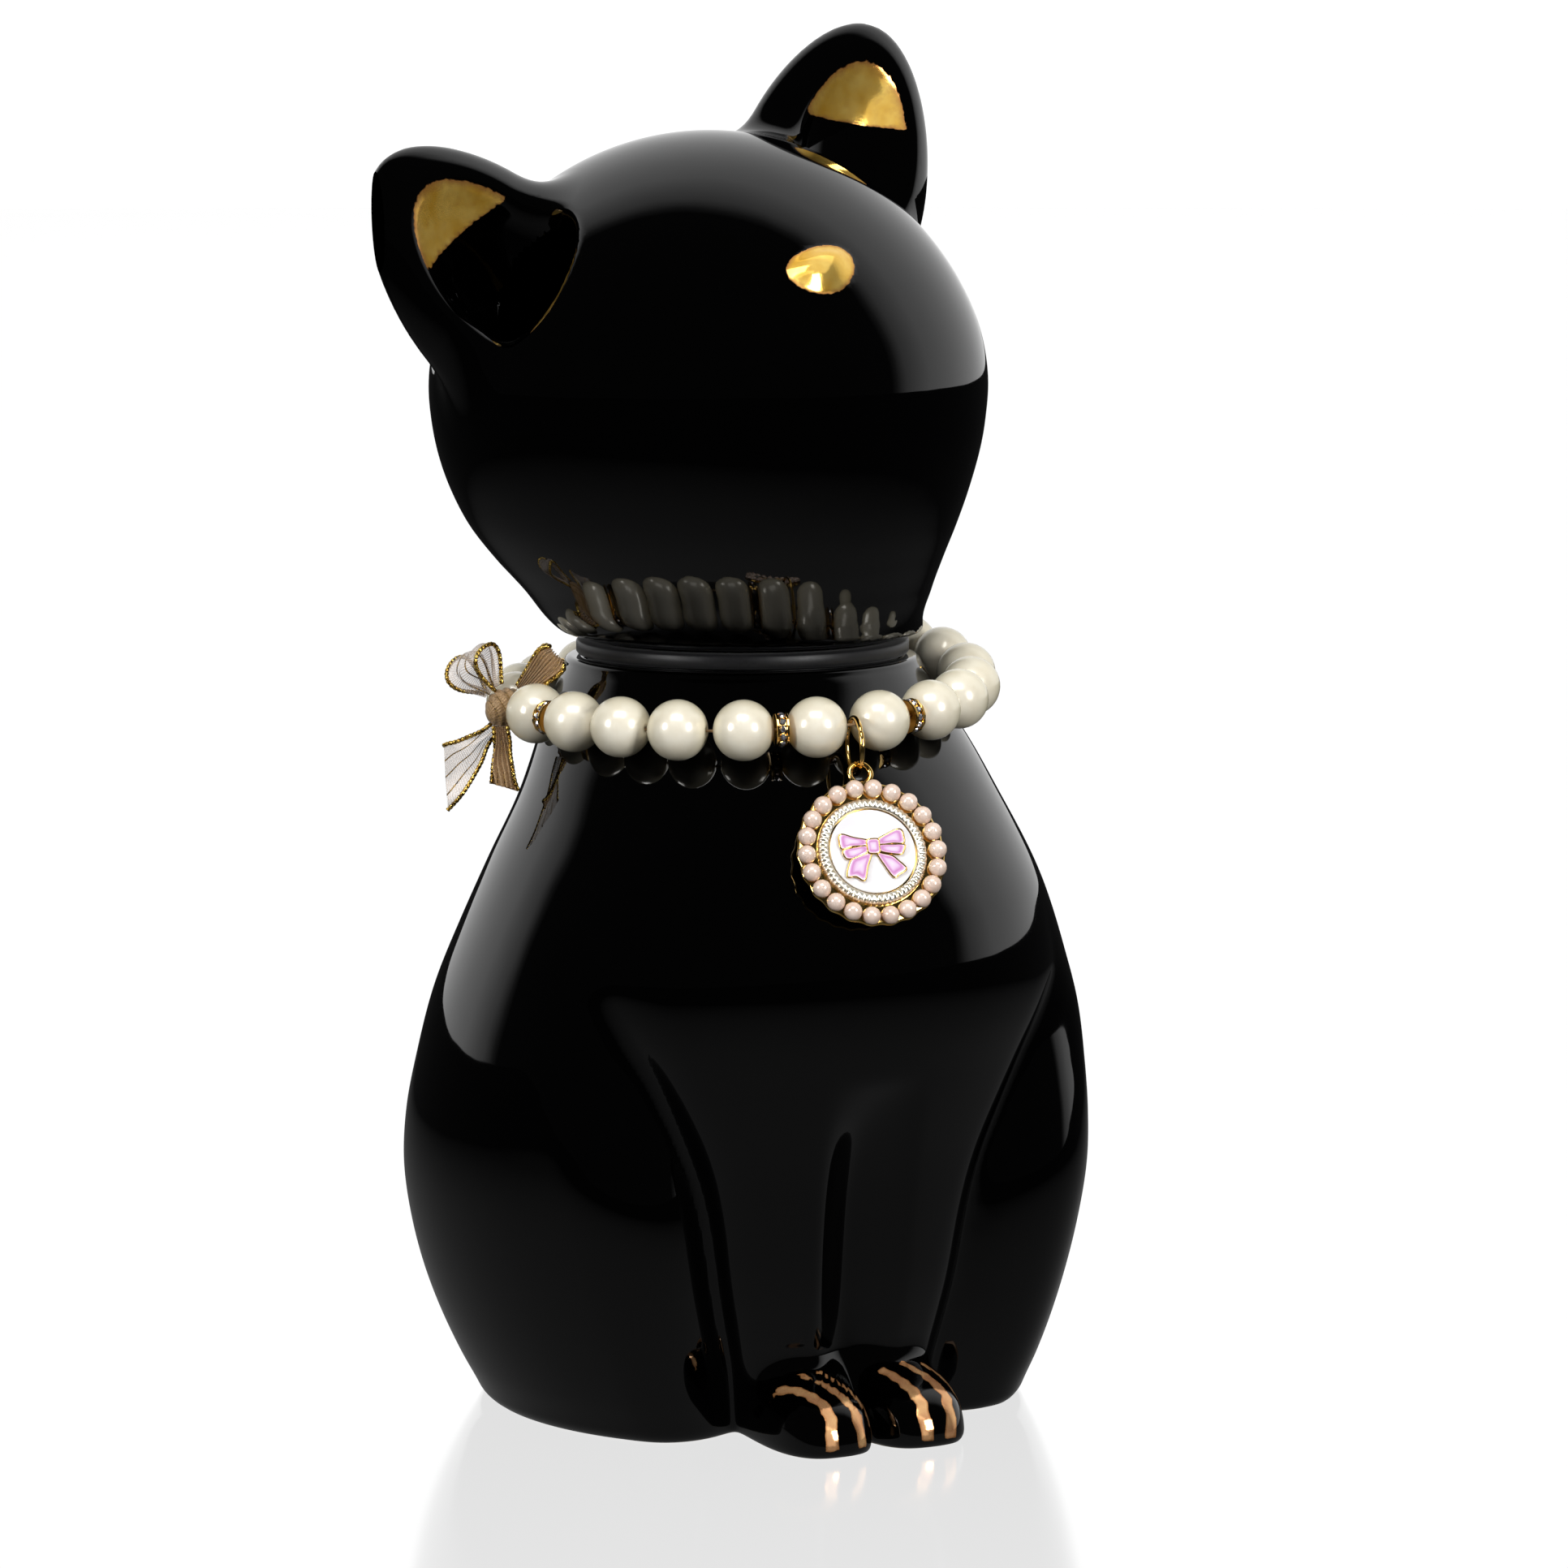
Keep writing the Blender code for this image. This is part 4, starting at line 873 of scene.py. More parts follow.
def discRows(profile, columns, wave=None):
    # (radius, height) pairs turned about the charm's middle; wave(a) scales each row's radius
    a = np.linspace(0, 2 * pi, columns, endpoint=False)[None, :]
    r, h = (np.array([p[k] for p in profile])[:, None] for k in (0, 1))
    r = r * (wave(a, r) if wave else 1)
    return onCharm(np.stack([r * np.sin(a), r * np.cos(a), h + 0 * a], axis=-1))


def hoopRows(centre, inPlane, upward, outer, wire, around, sides, pinch=0.0):
    # a ring of round wire: centre + (middle + w cos b) (sin a inPlane + cos a upward) + w sin b sideways
    a = np.linspace(0, 2 * pi, around, endpoint=False)[:, None, None]
    b = np.linspace(0, 2 * pi, sides, endpoint=False)[None, :, None]
    w = wire / 2 * (1 - pinch * np.exp(-((a - 0.9) / 0.035) ** 2))
    ray = np.sin(a) * inPlane + np.cos(a) * upward
    return centre + ((outer - wire) / 2 + w * np.cos(b)) * ray + w * np.sin(b) * np.cross(inPlane, upward)


def outlineCurve(corners, count=64):
    # a closed smooth curve through the corners, evenly stepped
    corners = np.array(corners, float)
    t = np.arange(-3, len(corners) + 4)
    looped = corners[t % len(corners)]
    at = np.linspace(0, len(corners), count, endpoint=False)
    return np.stack([smoothCurve(t, looped[:, k], at) for k in (0, 1)], axis=1)


def buildCharm(gold, paleGold, white, lilac, bead):
    across, up, out, ahead = charmWays()
    ring = hoopRows(np.array(charm["ringCentre"]), ahead, np.array((0, 0, 1.0)), charm["ring"],
                    charm["ringWire"], 96, 16, pinch=0.45)
    addPiece("jumpRing", closedGrid("jumpRing", ring, wrapRows=True), gold, "ring", "gold_metal",
             "jump_ring")

    back, beads = charm["back"], charm["beads"]
    scallop = lambda a, r: 1 - 0.012 * (1 - np.cos(beads * (a + pi / beads))) * (r > 0.0115)
    rim = charm["radius"]
    plate = [(rim - .0006, 0), (rim - .0002, .0001), (rim, .0004), (rim, back * .8), (rim - .0003, back),
             (.0098, back), (charm["bandOuter"], back)]
    addPiece("charmPlate", closedGrid("charmPlate", discRows(plate, 264, scallop)), gold, "charm",
             "gold_metal", "charm_setting")
    outer, inner, top = charm["bandOuter"], charm["bandInner"], back + charm["bandHeight"]
    band = [(outer + .0002, back * .6), (outer, top - .0006), (outer - .0003, top - .0001),
            (outer - .0008, top), (inner + .0003, top - .0001), (inner, top - .0003), (inner, back * .6)]
    # radial notches across the band's outer two thirds
    rows = discRows(band, 480)
    a = np.linspace(0, 2 * pi, 480, endpoint=False)
    outside = np.array([r > inner + .0004 and h > back for r, h in band])[:, None, None]
    notches = smoothStep(-0.2, 0.6, np.sin(charm["notches"] * a))[None, :, None]
    mesh = closedGrid("charmBand", rows - out * charm["notchDepth"] * notches * outside, wrapRows=True)
    addPiece("charmBand", mesh, paleGold, "charm", "gold_metal")
    lift = rim + charm["loop"] / 2 - charm["loopWire"]
    eye = hoopRows(onCharm([0, lift, back / 2]), across, up, charm["loop"], charm["loopWire"], 48, 14)
    addPiece("charmEye", closedGrid("charmEye", eye, wrapRows=True), gold, "charm", "gold_metal")

    seat, r = back + charm["gap"], charm["bead"] / 2
    parts = []
    for k in range(beads):
        a = (k + 0.5) * 2 * pi / beads
        middle = onCharm([charm["beadCircle"] * sin(a), charm["beadCircle"] * cos(a), seat])
        dome = [(r * cos(b), r * 1.1 * sin(b)) for b in np.linspace(0, pi / 2 * 0.96, 9)]
        rows = turnedRows(dome, 22, out, middle)
        points = np.vstack([rows.reshape(-1, 3), rows[0].mean(0), rows[-1].mean(0)])
        parts.append((points, [gridFaces(9, 22), capFaces(0, 22, 198, True),
                               capFaces(176, 22, 199, False)]))
    addPiece("charmBeads", makeMesh("charmBeads", *joinMeshes(parts)), bead, "charm", "pearl",
             "charm_half_pearls")

    base, edge = seat, inner - charm["gap"]
    h = charm["enamel"]
    disc = [(edge, base), (edge, base + h * .7), (edge - .0001, base + h * .85),
            (edge - .0003, base + h * .8),
            (edge * .6, base + h * .93), (edge * .3, base + h * .98), (edge * .05, base + h)]
    addPiece("charmEnamel", closedGrid("charmEnamel", discRows(disc, 96)), white, "charm", "white_enamel",
             "charm_enamel")

    face = base + h + charm["gap"] * 0.3
    fills, wires = [], []
    for key, corners in charmBow.items():
        if key == "lift":
            continue
        line = outlineCurve(corners) * 0.001 + [0, charmBow["lift"] * 0.001]
        raised = 0.00042 if key == "knot" else 0.00030 if "Loop" in key or "Fold" in key else 0.00022
        shares = np.array([1, 1, .92, .80, .62, .40, .15])[:, None, None]
        heights = np.array([-.0002, .6, .85, .95, 1, 1, 1]) * [1, *[raised] * 6] + face
        middle = line.mean(0)
        flat = middle + (line[None] - middle) * shares
        rows = onCharm(np.concatenate([flat, np.broadcast_to(heights[:, None, None], (7, len(line), 1))],
                                      axis=2))
        n = len(line)
        points = np.vstack([rows.reshape(-1, 3), rows[0].mean(0), rows[-1].mean(0)])
        fills.append((points, [gridFaces(7, n), capFaces(0, n, 7 * n, True),
                               capFaces(6 * n, n, 7 * n + 1, False)],
                      np.concatenate([np.repeat(shares[:, 0, 0], n), [1, 0]])))
        loop = onCharm(np.concatenate([line, np.full((n, 1), face + raised * .75)], axis=1))
        wires.append((sweptTube(loop, charm["bowWire"], 8, closed=True), [gridFaces(n, 8, wrapRows=True)]))
    mesh = makeMesh("charmBow", *joinMeshes([f[:2] for f in fills]))
    setAttribute(mesh, "share", np.concatenate([f[2] for f in fills]))
    fixNormals(mesh)
    addPiece("charmBow", mesh, lilac, "charm", "lilac_enamel", "charm_bow")
    mesh = makeMesh("charmBowWire", *joinMeshes(wires))
    fixNormals(mesh)
    addPiece("charmBowWire", mesh, gold, "charm", "gold_metal")


def fixNormals(mesh):
    # turns every closed shell of a mesh outwards
    bm = bmesh.new()
    bm.from_mesh(mesh)
    bmesh.ops.recalc_face_normals(bm, faces=bm.faces)
    bm.to_mesh(mesh)
    bm.free()


# materials of the collar and charm

def imitationPearl(name, body, glow, deep):
    # glass bead dipped in pearl lacquer: a soft, deep sheen under a hard clear skin, a little greener at
    # its edge, where painted shade also darkens it
    material, tree, shader = newMaterial(name, {"IOR": 1.55, "Metallic": 0.08, "Coat Weight": 0.6,
                                                "Coat Roughness": 0.04, "Coat IOR": 1.5,
                                                "Sheen Weight": 0.12})
    coords = addNode(tree, "ShaderNodeTexCoord")
    cloud = noise(tree, coords, 420.0, 3.0)
    skin = ramp(tree, cloud, ((0.3, body), (0.75, glow)))
    # painted shade: where the bead turns away, the colour goes over to the edge colour deep, which tints
    # the rim greener and also darkens it as shade would
    facing = addNode(tree, "ShaderNodeLayerWeight", {"Blend": 0.35})
    greenerShadedRim = addNode(tree, "ShaderNodeMix", {"data_type": "RGBA", 7: toLinear(deep)},
                   {"Factor": facing.outputs["Facing"], 6: skin})
    grain = mapTo(tree, 0.20, 0.30, cloud)
    fine = noise(tree, coords, 2600.0, 1.0)
    bump = bumpOf(tree, 0.12, 0.00003, fine)
    feed(tree, shader, {"Base Color": greenerShadedRim.outputs[2], "Roughness": grain, "Normal": bump})
    return material


def polishedPlating(name, light, dark, roughness, spread=0.05, scale=700.0):
    # metal plating over a cast alloy: bright, with faint polishing clouds that change its roughness
    material, tree, shader = newMaterial(name, {"Metallic": 1.0})
    coords = addNode(tree, "ShaderNodeTexCoord")
    cloud = noise(tree, coords, scale, 3.0)
    rough = mapTo(tree, roughness, roughness + spread, cloud)
    bump = bumpOf(tree, 0.15, 0.00003, cloud)
    tree.links.new(ramp(tree, cloud, ((0.3, dark), (0.7, light))),
                   shader.inputs["Base Color"])
    feed(tree, shader, {"Roughness": rough, "Normal": bump})
    return material


def firedGoldLustre():
    # liquid bright gold fired on the glaze: yellow in the ears, rosier where it is thin on the toes and
    # at its brushed edge, with brush marks about 0.4 mm apart
    material, tree, shader = newMaterial("firedGoldLustre", {"Metallic": 0.75})
    coords = addNode(tree, "ShaderNodeTexCoord")
    lustre = addNode(tree, "ShaderNodeAttribute", {"attribute_name": "lustre"})
    brush = noise(tree, coords, 900.0, 2.0)
    wander = addNode(tree, "ShaderNodeMath", {"operation": "MULTIPLY_ADD", 1: 0.0003, 2: -0.00015},
                     {0: brush})
    edge = addNode(tree, "ShaderNodeMath", {"operation": "ADD"},
                   {0: lustre.outputs["Fac"], 1: wander.outputs[0]})
    shown = mapFrom(tree, 0.0, 0.00006, edge.outputs[0])
    rim = mapFrom(tree, 0.0, 0.0004, edge.outputs[0])
    place = addNode(tree, "ShaderNodeSeparateXYZ", links={0: coords.outputs["Object"]})
    toe = mapFrom(tree, 0.02, 0.04, place.outputs["Z"])
    cloud = noise(tree, coords, 260.0, 3.0)
    rose = ramp(tree, cloud, ((0.3, "#C58B62"), (0.7, "#E8B880")))
    yellow = ramp(tree, cloud, ((0.3, "#DDAA3C"), (0.7, "#F2CC6A")))
    warm = mixColour(tree, toe, rose, yellow)
    thin = addNode(tree, "ShaderNodeMix", {"data_type": "RGBA", 6: toLinear("#A8703F")},
                   {"Factor": rim, 7: warm})
    rough = mapTo(tree, 0.08, 0.15, cloud)
    marks = noise(tree, coords, 2400.0, 1.0)
    bump = bumpOf(tree, 0.2, 0.00003, marks)
    feed(tree, shader, {"Base Color": thin.outputs[2], "Roughness": rough, "Alpha": shown, "Normal": bump})
    return material


def foiledCrystal():
    # cut glass with a mirror foil behind it: hard sparkle with a grey and lilac cast from stone to stone
    material, tree, shader = newMaterial("foiledCrystal", {"Metallic": 0.85, "Roughness": 0.05,
                                                           "Coat Weight": 1.0, "Coat Roughness": 0.02})
    coords = addNode(tree, "ShaderNodeTexCoord")
    cell = addNode(tree, "ShaderNodeTexVoronoi", {"Scale": 1500.0}, {"Vector": coords.outputs["Object"]})
    shades = addNode(tree, "ShaderNodeSeparateColor", links={0: cell.outputs["Color"]})
    tree.links.new(ramp(tree, shades.outputs[0], ((0.1, "#8E8A94"), (0.5, "#E9E6EE"), (0.9, "#FFFFFF"))),
                   shader.inputs["Base Color"])
    return material


def softEnamel(name, stops, attribute=None):
    # coloured resin enamel, poured and cured: glossy, with a slight swim in its surface
    material, tree, shader = newMaterial(name, {"IOR": 1.5, "Coat Weight": 0.5, "Coat Roughness": 0.03})
    coords = addNode(tree, "ShaderNodeTexCoord")
    cloud = noise(tree, coords, 300.0, 2.0)
    source = cloud
    if attribute:
        source = addNode(tree, "ShaderNodeAttribute", {"attribute_name": attribute}).outputs["Fac"]
    tree.links.new(ramp(tree, source, stops), shader.inputs["Base Color"])
    rough = mapTo(tree, 0.08, 0.16, cloud)
    bump = bumpOf(tree, 0.1, 0.0001, cloud)
    feed(tree, shader, {"Roughness": rough, "Normal": bump})
    return material


def stretchThread():
    # braided polyester stretch cord: fine cross ribs, 0.15 mm apart
    material, tree, shader = newMaterial("stretchThread", {"Sheen Weight": 0.3})
    coords = addNode(tree, "ShaderNodeTexCoord")
    ribs = noise(tree, coords, 6000.0, 1.0)
    tree.links.new(ramp(tree, ribs, ((0.3, "#5E4426"), (0.7, "#A98450"))),
                   shader.inputs["Base Color"])
    rough = mapTo(tree, 0.4, 0.6, ribs)
    tree.links.new(rough, shader.inputs["Roughness"])
    return material


def mouldedSilicone():
    # moulded silicone rubber: matt black with a fine dusty bloom
    material, tree, shader = newMaterial("mouldedSilicone", {"IOR": 1.41, "Sheen Weight": 0.1})
    coords = addNode(tree, "ShaderNodeTexCoord")
    dust = noise(tree, coords, 2200.0, 4.0)
    tree.links.new(ramp(tree, dust, ((0.3, "#08080A"), (0.8, "#17171A"))),
                   shader.inputs["Base Color"])
    rough = mapTo(tree, 0.35, 0.55, dust)
    bump = bumpOf(tree, 0.2, 0.00003, dust)
    feed(tree, shader, {"Roughness": rough, "Normal": bump})
    return material


# seal ring under the head

seal = {"radius": 0.0277, "thickness": 0.0024, "sleeve": 0.0024, "sleeveLength": 0.0080, "gap": 0.0003,
        "ribs": 3, "ribDepth": 0.0006}


def buildSeal(material):
    # a flange between the rims and a sleeve with three soft ribs round the plug
    inner = head["plugRadius"] + seal["gap"]
    low = jar["height"] + seal["gap"]
    top, wall = low + seal["thickness"], inner + seal["sleeve"]
    end = low - seal["sleeveLength"]
    heights = np.linspace(end + 0.0004, low - 0.0004, 40)
    ribs = wall - seal["ribDepth"] * (np.cos((heights - end) / seal["sleeveLength"] * 2 * pi * seal["ribs"])
                                      * 0.5
                            + 0.5)
    profile = [(inner, top - .0002), (inner, end + .0002), (inner + .0002, end), (wall - .0008, end)]
    profile += list(zip(ribs, heights))
    profile += [(wall, low), (seal["radius"] - .0003, low), (seal["radius"], low + .0004),
                (seal["radius"], top - .0004), (seal["radius"] - .0003, top), (inner + .0002, top)]
    mesh = closedGrid("sealRing", turnedRows(profile, 128), wrapRows=True)
    fixNormals(mesh)
    addPiece("sealRing", mesh, material, "seal", "silicone", "seal_ring")


lustreGold = firedGoldLustre()
gold = polishedPlating("goldPlatedAlloy", "#F3CF83", "#DDAE55", 0.10)
paleGold = polishedPlating("paleGoldPlating", "#FFFCF2", "#FBF0D2", 0.30)
# each pearl's last colour is its edge colour: a greener tint, darkened with painted shade, for the rim
creamPearl = imitationPearl("creamPearlLacquer", "#F8EFDA", "#FFF9E8", "#CFC49A")
pinkPearl = imitationPearl("pinkPearlLacquer", "#F0D5C4", "#FBE8DC", "#C9A07A")
whiteEnamel = softEnamel("whiteSoftEnamel", ((0.3, "#F1EFF2"), (0.7, "#FBFAFC")))
lilacEnamel = softEnamel("lilacSoftEnamel", ((0.0, "#F7EAF8"), (0.40, "#EFCFEF"), (0.66, "#D58FCB"),
                                             (0.80, "#E9B7E3"),
                                             (0.90, "#FDF4FB")), "share")
lustreFilm("toeLustre", *jarSkin, lustreGold, "jar")
lustreFilm("earAndNoseLustre", *headSkin, lustreGold, "head")
buildSeal(mouldedSilicone())
strandPoints, strandGaps = buildCollar(creamPearl, gold, foiledCrystal(), stretchThread())
print("collar built")
buildCharm(gold, paleGold, whiteEnamel, lilacEnamel, pinkPearl)
print("charm built")


# ribbon bow: one 10 mm organza ribbon, as a knot, two loops and two tails

ribbon = {"width": 0.0100, "thickness": 0.00010, "cord": 0.00036, "bead": 0.00075,
          "knot": (0.0036, 0.0022, 0.0033), "knotOut": 0.0022, "tailStart": 0.0022,
          # each loop: its way and its width's way as outward, forward and upward shares, reach, half its
          # opening, width, number of pleats
          "frontLoop": ((-0.50, 0.50, 0.70), (-0.62, 0.29, -0.73), 0.0105, 0.0008, 0.0062, 9),
          "backLoop": ((0.60, 0.0, 0.80), (0.28, -0.88, -0.39), 0.0085, 0.0030, 0.0085, 2),
          # each tail: its start from the thread, its way and its width's way, length, end width, pleats,
          # how far its cut end slants
          "frontTail": ((0.0041, 0.0033, -0.0036), (0.0, 0.24, -0.97), (-0.75, 0.66, 0.0), 0.0090, 0.0046,
                        5, 0.0010),
          "backTail": ((0.0048, -0.0004, -0.0040), (0.73, 0.0, -0.68), (-0.68, 0.0, -0.73), 0.0105, 0.0085,
                       1, 0.0070)}


def bandRows(line, wide, width, pleats, share=0.9):
    # a band along a line: across it runs u from -1/2 to 1/2, waved out of its plane by pleats deep enough
    # to take up the ribbon's own width: depth = w / (2 pi n) sqrt(2 ((W / w)^2 - 1)); both faces, closed
    # at its edges
    columns = 12 * max(pleats, 4) + 1
    u = np.linspace(-0.5, 0.5, columns)
    along = unit(np.gradient(line, axis=0))
    out = unit(np.cross(along, wide))
    full = np.maximum(ribbon["width"] * share / width, 1.0)
    depth = np.minimum(width / (2 * pi * pleats) * np.sqrt(2 * (full**2 - 1)), 0.0006)
    steps = np.linspace(0, 1, len(line))[:, None]
    wave = depth[:, None] * np.sin(2 * pi * pleats * u + 2.2 * np.sin(5 * steps + 3 * u))
    middle = line[:, None] + wide[:, None] * (width[:, None]
                                              * u)[..., None] + out[:, None] * wave[..., None]
    half = out[:, None] * ribbon["thickness"] / 2
    return middle, np.concatenate([middle + half, (middle - half)[:, ::-1]], axis=1), u


def addBand(name, line, wide, width, pleats, cloth, cordMaterial, cadNode):
    # the ribbon as a thin closed shell, with its two beaded edge cords; UV is millimetres across and along
    line, wide, width = (np.asarray(v, float) for v in (line, wide, width))
    middle, rows, u = bandRows(line, wide, width, pleats)
    mesh = closedGrid(name, rows)
    across = np.concatenate([u, u[::-1]]) * ribbon["width"] * 1000
    run = np.concatenate([[0], np.cumsum(np.linalg.norm(np.diff(line, axis=0), axis=1))]) * 1000
    uv = np.stack(np.broadcast_arrays(across[None], run[:, None]), axis=-1).reshape(-1, 2)
    setUv(mesh, np.vstack([uv, [0, run[0]], [0, run[-1]]]))
    fixNormals(mesh)
    piece = addPiece(name, mesh, cloth, "collar", "ribbon", cadNode)
    edges = []
    for edge in (middle[:, 0], middle[:, -1]):
        steps = np.concatenate([[0], np.cumsum(np.linalg.norm(np.diff(edge, axis=0), axis=1))])
        at = np.linspace(0, steps[-1], max(int(steps[-1] / ribbon["bead"] * 6), 8))
        path = np.stack([np.interp(at, steps, edge[:, k]) for k in range(3)], axis=1)
        radius = ribbon["cord"] * (0.80 + 0.28 * np.abs(np.sin(pi * at / ribbon["bead"])))
        tube = sweptTube(path, radius, 8)
        n = len(path)
        points = np.vstack([tube.reshape(-1, 3), tube[0].mean(0), tube[-1].mean(0)])
        edges.append((points, [gridFaces(n, 8), capFaces(0, 8, 8 * n, True),
                               capFaces(8 * (n - 1), 8, 8 * n + 1, False)]))
    edgeMesh = makeMesh(name + "Edge", *joinMeshes(edges))
    fixNormals(edgeMesh)
    cords = addPiece(name + "Edge", edgeMesh, cordMaterial, "collar", "ribbon")
    return piece


def buildBow(points, gaps, cloth, dense, cordMaterial):
    at = points[[kind for kind, _ in gaps].index("tie")]
    out = unit(np.array([at[0], at[1], 0]))
    ways = np.stack([out, np.cross((0, 0, 1.0), out), (0, 0, 1.0)])
    middle = at + out * ribbon["knotOut"]

    def way(shares):
        return unit(np.array(shares) @ ways)

    # the knot: an egg-shaped bundle whose folds run round it on a slant, three turns wide
    b = np.linspace(0.10, pi - 0.10, 60)[:, None]
    a = np.linspace(0, 2 * pi, 120, endpoint=False)[None]
    folds = 1 + 0.050 * np.sin(15 * (b + 0.35 * np.sin(a + 0.6))) + 0.03 * np.sin(3 * b + a)
    waist = 0.86 + 0.14 * np.cos(2 * (a - 0.5))
    radial, level, upright = ribbon["knot"]
    knot = np.stack([-radial * np.cos(b) + 0 * a, level * np.sin(b) * np.cos(a) * folds * waist,
                     upright * np.sin(b) * np.sin(a) * folds], axis=-1)
    turn = np.array([[cos(0.5), 0, sin(0.5)], [0, 1, 0], [-sin(0.5), 0, cos(0.5)]])
    rows = middle + (knot @ turn.T) @ ways
    mesh = closedGrid("ribbonKnot", rows)
    flat = np.stack(np.broadcast_arrays(b * 6.0, a * 2.2), axis=-1).reshape(-1, 2)
    setUv(mesh, np.vstack([flat, [0, 0], [0, 0]]))
    fixNormals(mesh)
    tied = addPiece("ribbonKnot", mesh, dense, "collar", "ribbon", "ribbon_knot")

    t = np.linspace(0.03, 0.97, 72)
    for key, name, node, cloths in (("frontLoop", "ribbonLoopFront", "ribbon_loop_front", dense),
                                    ("backLoop", "ribbonLoopBack", "ribbon_loop_back", cloth)):
        ahead, flat, reach, openBy, widest, pleats = ribbon[key]
        ahead, flat = way(ahead), way(flat)
        opening = unit(np.cross(flat, ahead))
        far = reach * np.sin(pi * t) ** 0.8 + ribbon["knot"][2] * 0.8
        line = middle + far[:, None] * ahead + (openBy * np.sin(2 * pi * t))[:, None] * opening
        width = widest * (0.35 + 0.65 * np.sin(pi * t)) * (1 - (0.45 if key == "frontLoop" else 0)
                                                           * np.sin(pi * t) ** 12)
        length = float(np.sum(np.linalg.norm(np.diff(line, axis=0), axis=1)))
        addBand(name, line, np.repeat(flat[None], len(t), 0), width, pleats, cloths, cordMaterial,
                node)
    s = np.linspace(0, 1, 40)
    for key, name, node, cloths in (("frontTail", "ribbonTailFront", "ribbon_tail_front", dense),
                                    ("backTail", "ribbonTailBack", "ribbon_tail_back", cloth)):
        start, ahead, flat, length, widest, pleats, slant = ribbon[key]
        ahead, flat = way(ahead), way(flat)
        line = at + np.array(start) @ ways + ahead * ((s * 1.12 - 0.12) * length)[:, None]
        line += np.cross(flat, ahead) * (0.0003 * np.sin(2 * pi * s))[:, None]
        width = ribbon["tailStart"] + (widest - ribbon["tailStart"]) * smoothStep(0, 1.1, s)
        wide = flat + ahead * (slant / widest * s**2)[:, None]
        addBand(name, line, wide, width, pleats, cloths, cordMaterial, node)


def sheerOrganza(name, body, sheer, weave):
    # woven nylon organza: see-through, with a fine cross rib 0.35 mm apart and three thin gold stripes
    # along it
    material, tree, shader = newMaterial(name, {"Roughness": 0.45, "Sheen Weight": 0.4, "Metallic": 0.15,
                                                "Transmission Weight": 0.0})
    place = addNode(tree, "ShaderNodeUVMap", {"uv_map": "cloth"})
    split = addNode(tree, "ShaderNodeSeparateXYZ", links={0: place.outputs[0]})
    rib = addNode(tree, "ShaderNodeMath", {"operation": "MULTIPLY", 1: 2 * pi / 0.35},
                  {0: split.outputs["Y"]})
    ribs = addNode(tree, "ShaderNodeMath", {"operation": "SINE"}, {0: rib.outputs[0]})
    shine = addNode(tree, "ShaderNodeMapRange", {"From Min": -1.0}, {"Value": ribs.outputs[0]})
    third = addNode(tree, "ShaderNodeMath", {"operation": "MULTIPLY", 1: 2 * pi / 2.6},
                    {0: split.outputs["X"]})
    wave = addNode(tree, "ShaderNodeMath", {"operation": "COSINE"}, {0: third.outputs[0]})
    stripe = mapFrom(tree, 0.93, 0.97, wave.outputs[0])
    mottle = addNode(tree, "ShaderNodeTexNoise", {"Scale": 2.5, "Detail": 2.0},
                     {"Vector": place.outputs[0]})
    cloth = ramp(tree, mottle.outputs["Fac"], ((0.3, body), (0.7, weave)))
    glitter = ramp(tree, mottle.outputs["Fac"], ((0.42, "#3A2A12"), (0.55, "#B08A3C")))
    colour = mixColour(tree, stripe, cloth, glitter)
    cover = mapTo(tree, sheer, min(sheer + 0.30, 1.0), shine.outputs[0])
    full = addNode(tree, "ShaderNodeMath", {"operation": "MAXIMUM"},
                   {0: cover, 1: stripe})
    bump = bumpOf(tree, 0.5, 0.00008, shine.outputs[0])
    feed(tree, shader, {"Base Color": colour, "Alpha": full.outputs[0], "Normal": bump})
    return material


def goldGlitterCord():
    # metallised polyester yarn twisted into the edge: bright and dark gold flakes about 0.25 mm across
    material, tree, shader = newMaterial("goldGlitterCord", {"Metallic": 0.95})
    coords = addNode(tree, "ShaderNodeTexCoord")
    flakes = addNode(tree, "ShaderNodeTexVoronoi", {"Scale": 3800.0}, {"Vector": coords.outputs["Object"]})
    shades = addNode(tree, "ShaderNodeSeparateColor", links={0: flakes.outputs["Color"]})
    tree.links.new(ramp(tree, shades.outputs[0], ((0.15, "#3B2A10"), (0.45, "#A87C2C"), (0.8, "#F0D070"))),
                   shader.inputs["Base Color"])
    rough = mapTo(tree, 0.18, 0.45, shades.outputs[1])
    bump = bumpOf(tree, 0.8, 0.0001, shades.outputs[2])
    feed(tree, shader, {"Roughness": rough, "Normal": bump})
    return material


buildBow(strandPoints, strandGaps, sheerOrganza("sheerOrganza", "#D9C6B4", 0.22, "#EFE3DA"),
         sheerOrganza("gatheredOrganza", "#A07C50", 0.92, "#C4A378"), goldGlitterCord())
print("bow built")


# camera, floor and light

studio = {"azimuth": radians(-25.3), "down": 7.5, "distance": 0.9736, "sideways": 0.0069, "height": 0.2302,
          "lens": 135, "floorRadius": 6.0,
          "room": 0.02, "tableGlow": 0.16, "tableWhite": 1.04}


def buildCamera():
    # the camera stands at back x distance + right x sideways, at its height, and looks down a little
    a = studio["azimuth"]
    back, right = Vector((sin(a), -cos(a), 0)), Vector((cos(a), sin(a), 0))
    data = bpy.data.cameras.new("camera")
    data.lens, data.sensor_width = studio["lens"], 36
    data.clip_start, data.clip_end = 0.05, 50
    camera = bpy.data.objects.new("camera", data)
    place = back * studio["distance"] + right * studio["sideways"]
    camera.location = place + Vector((0, 0, studio["height"]))
    camera.rotation_euler = (radians(90 - studio["down"]), 0, a)
    bpy.context.scene.collection.objects.link(camera)
    bpy.context.scene.camera = camera


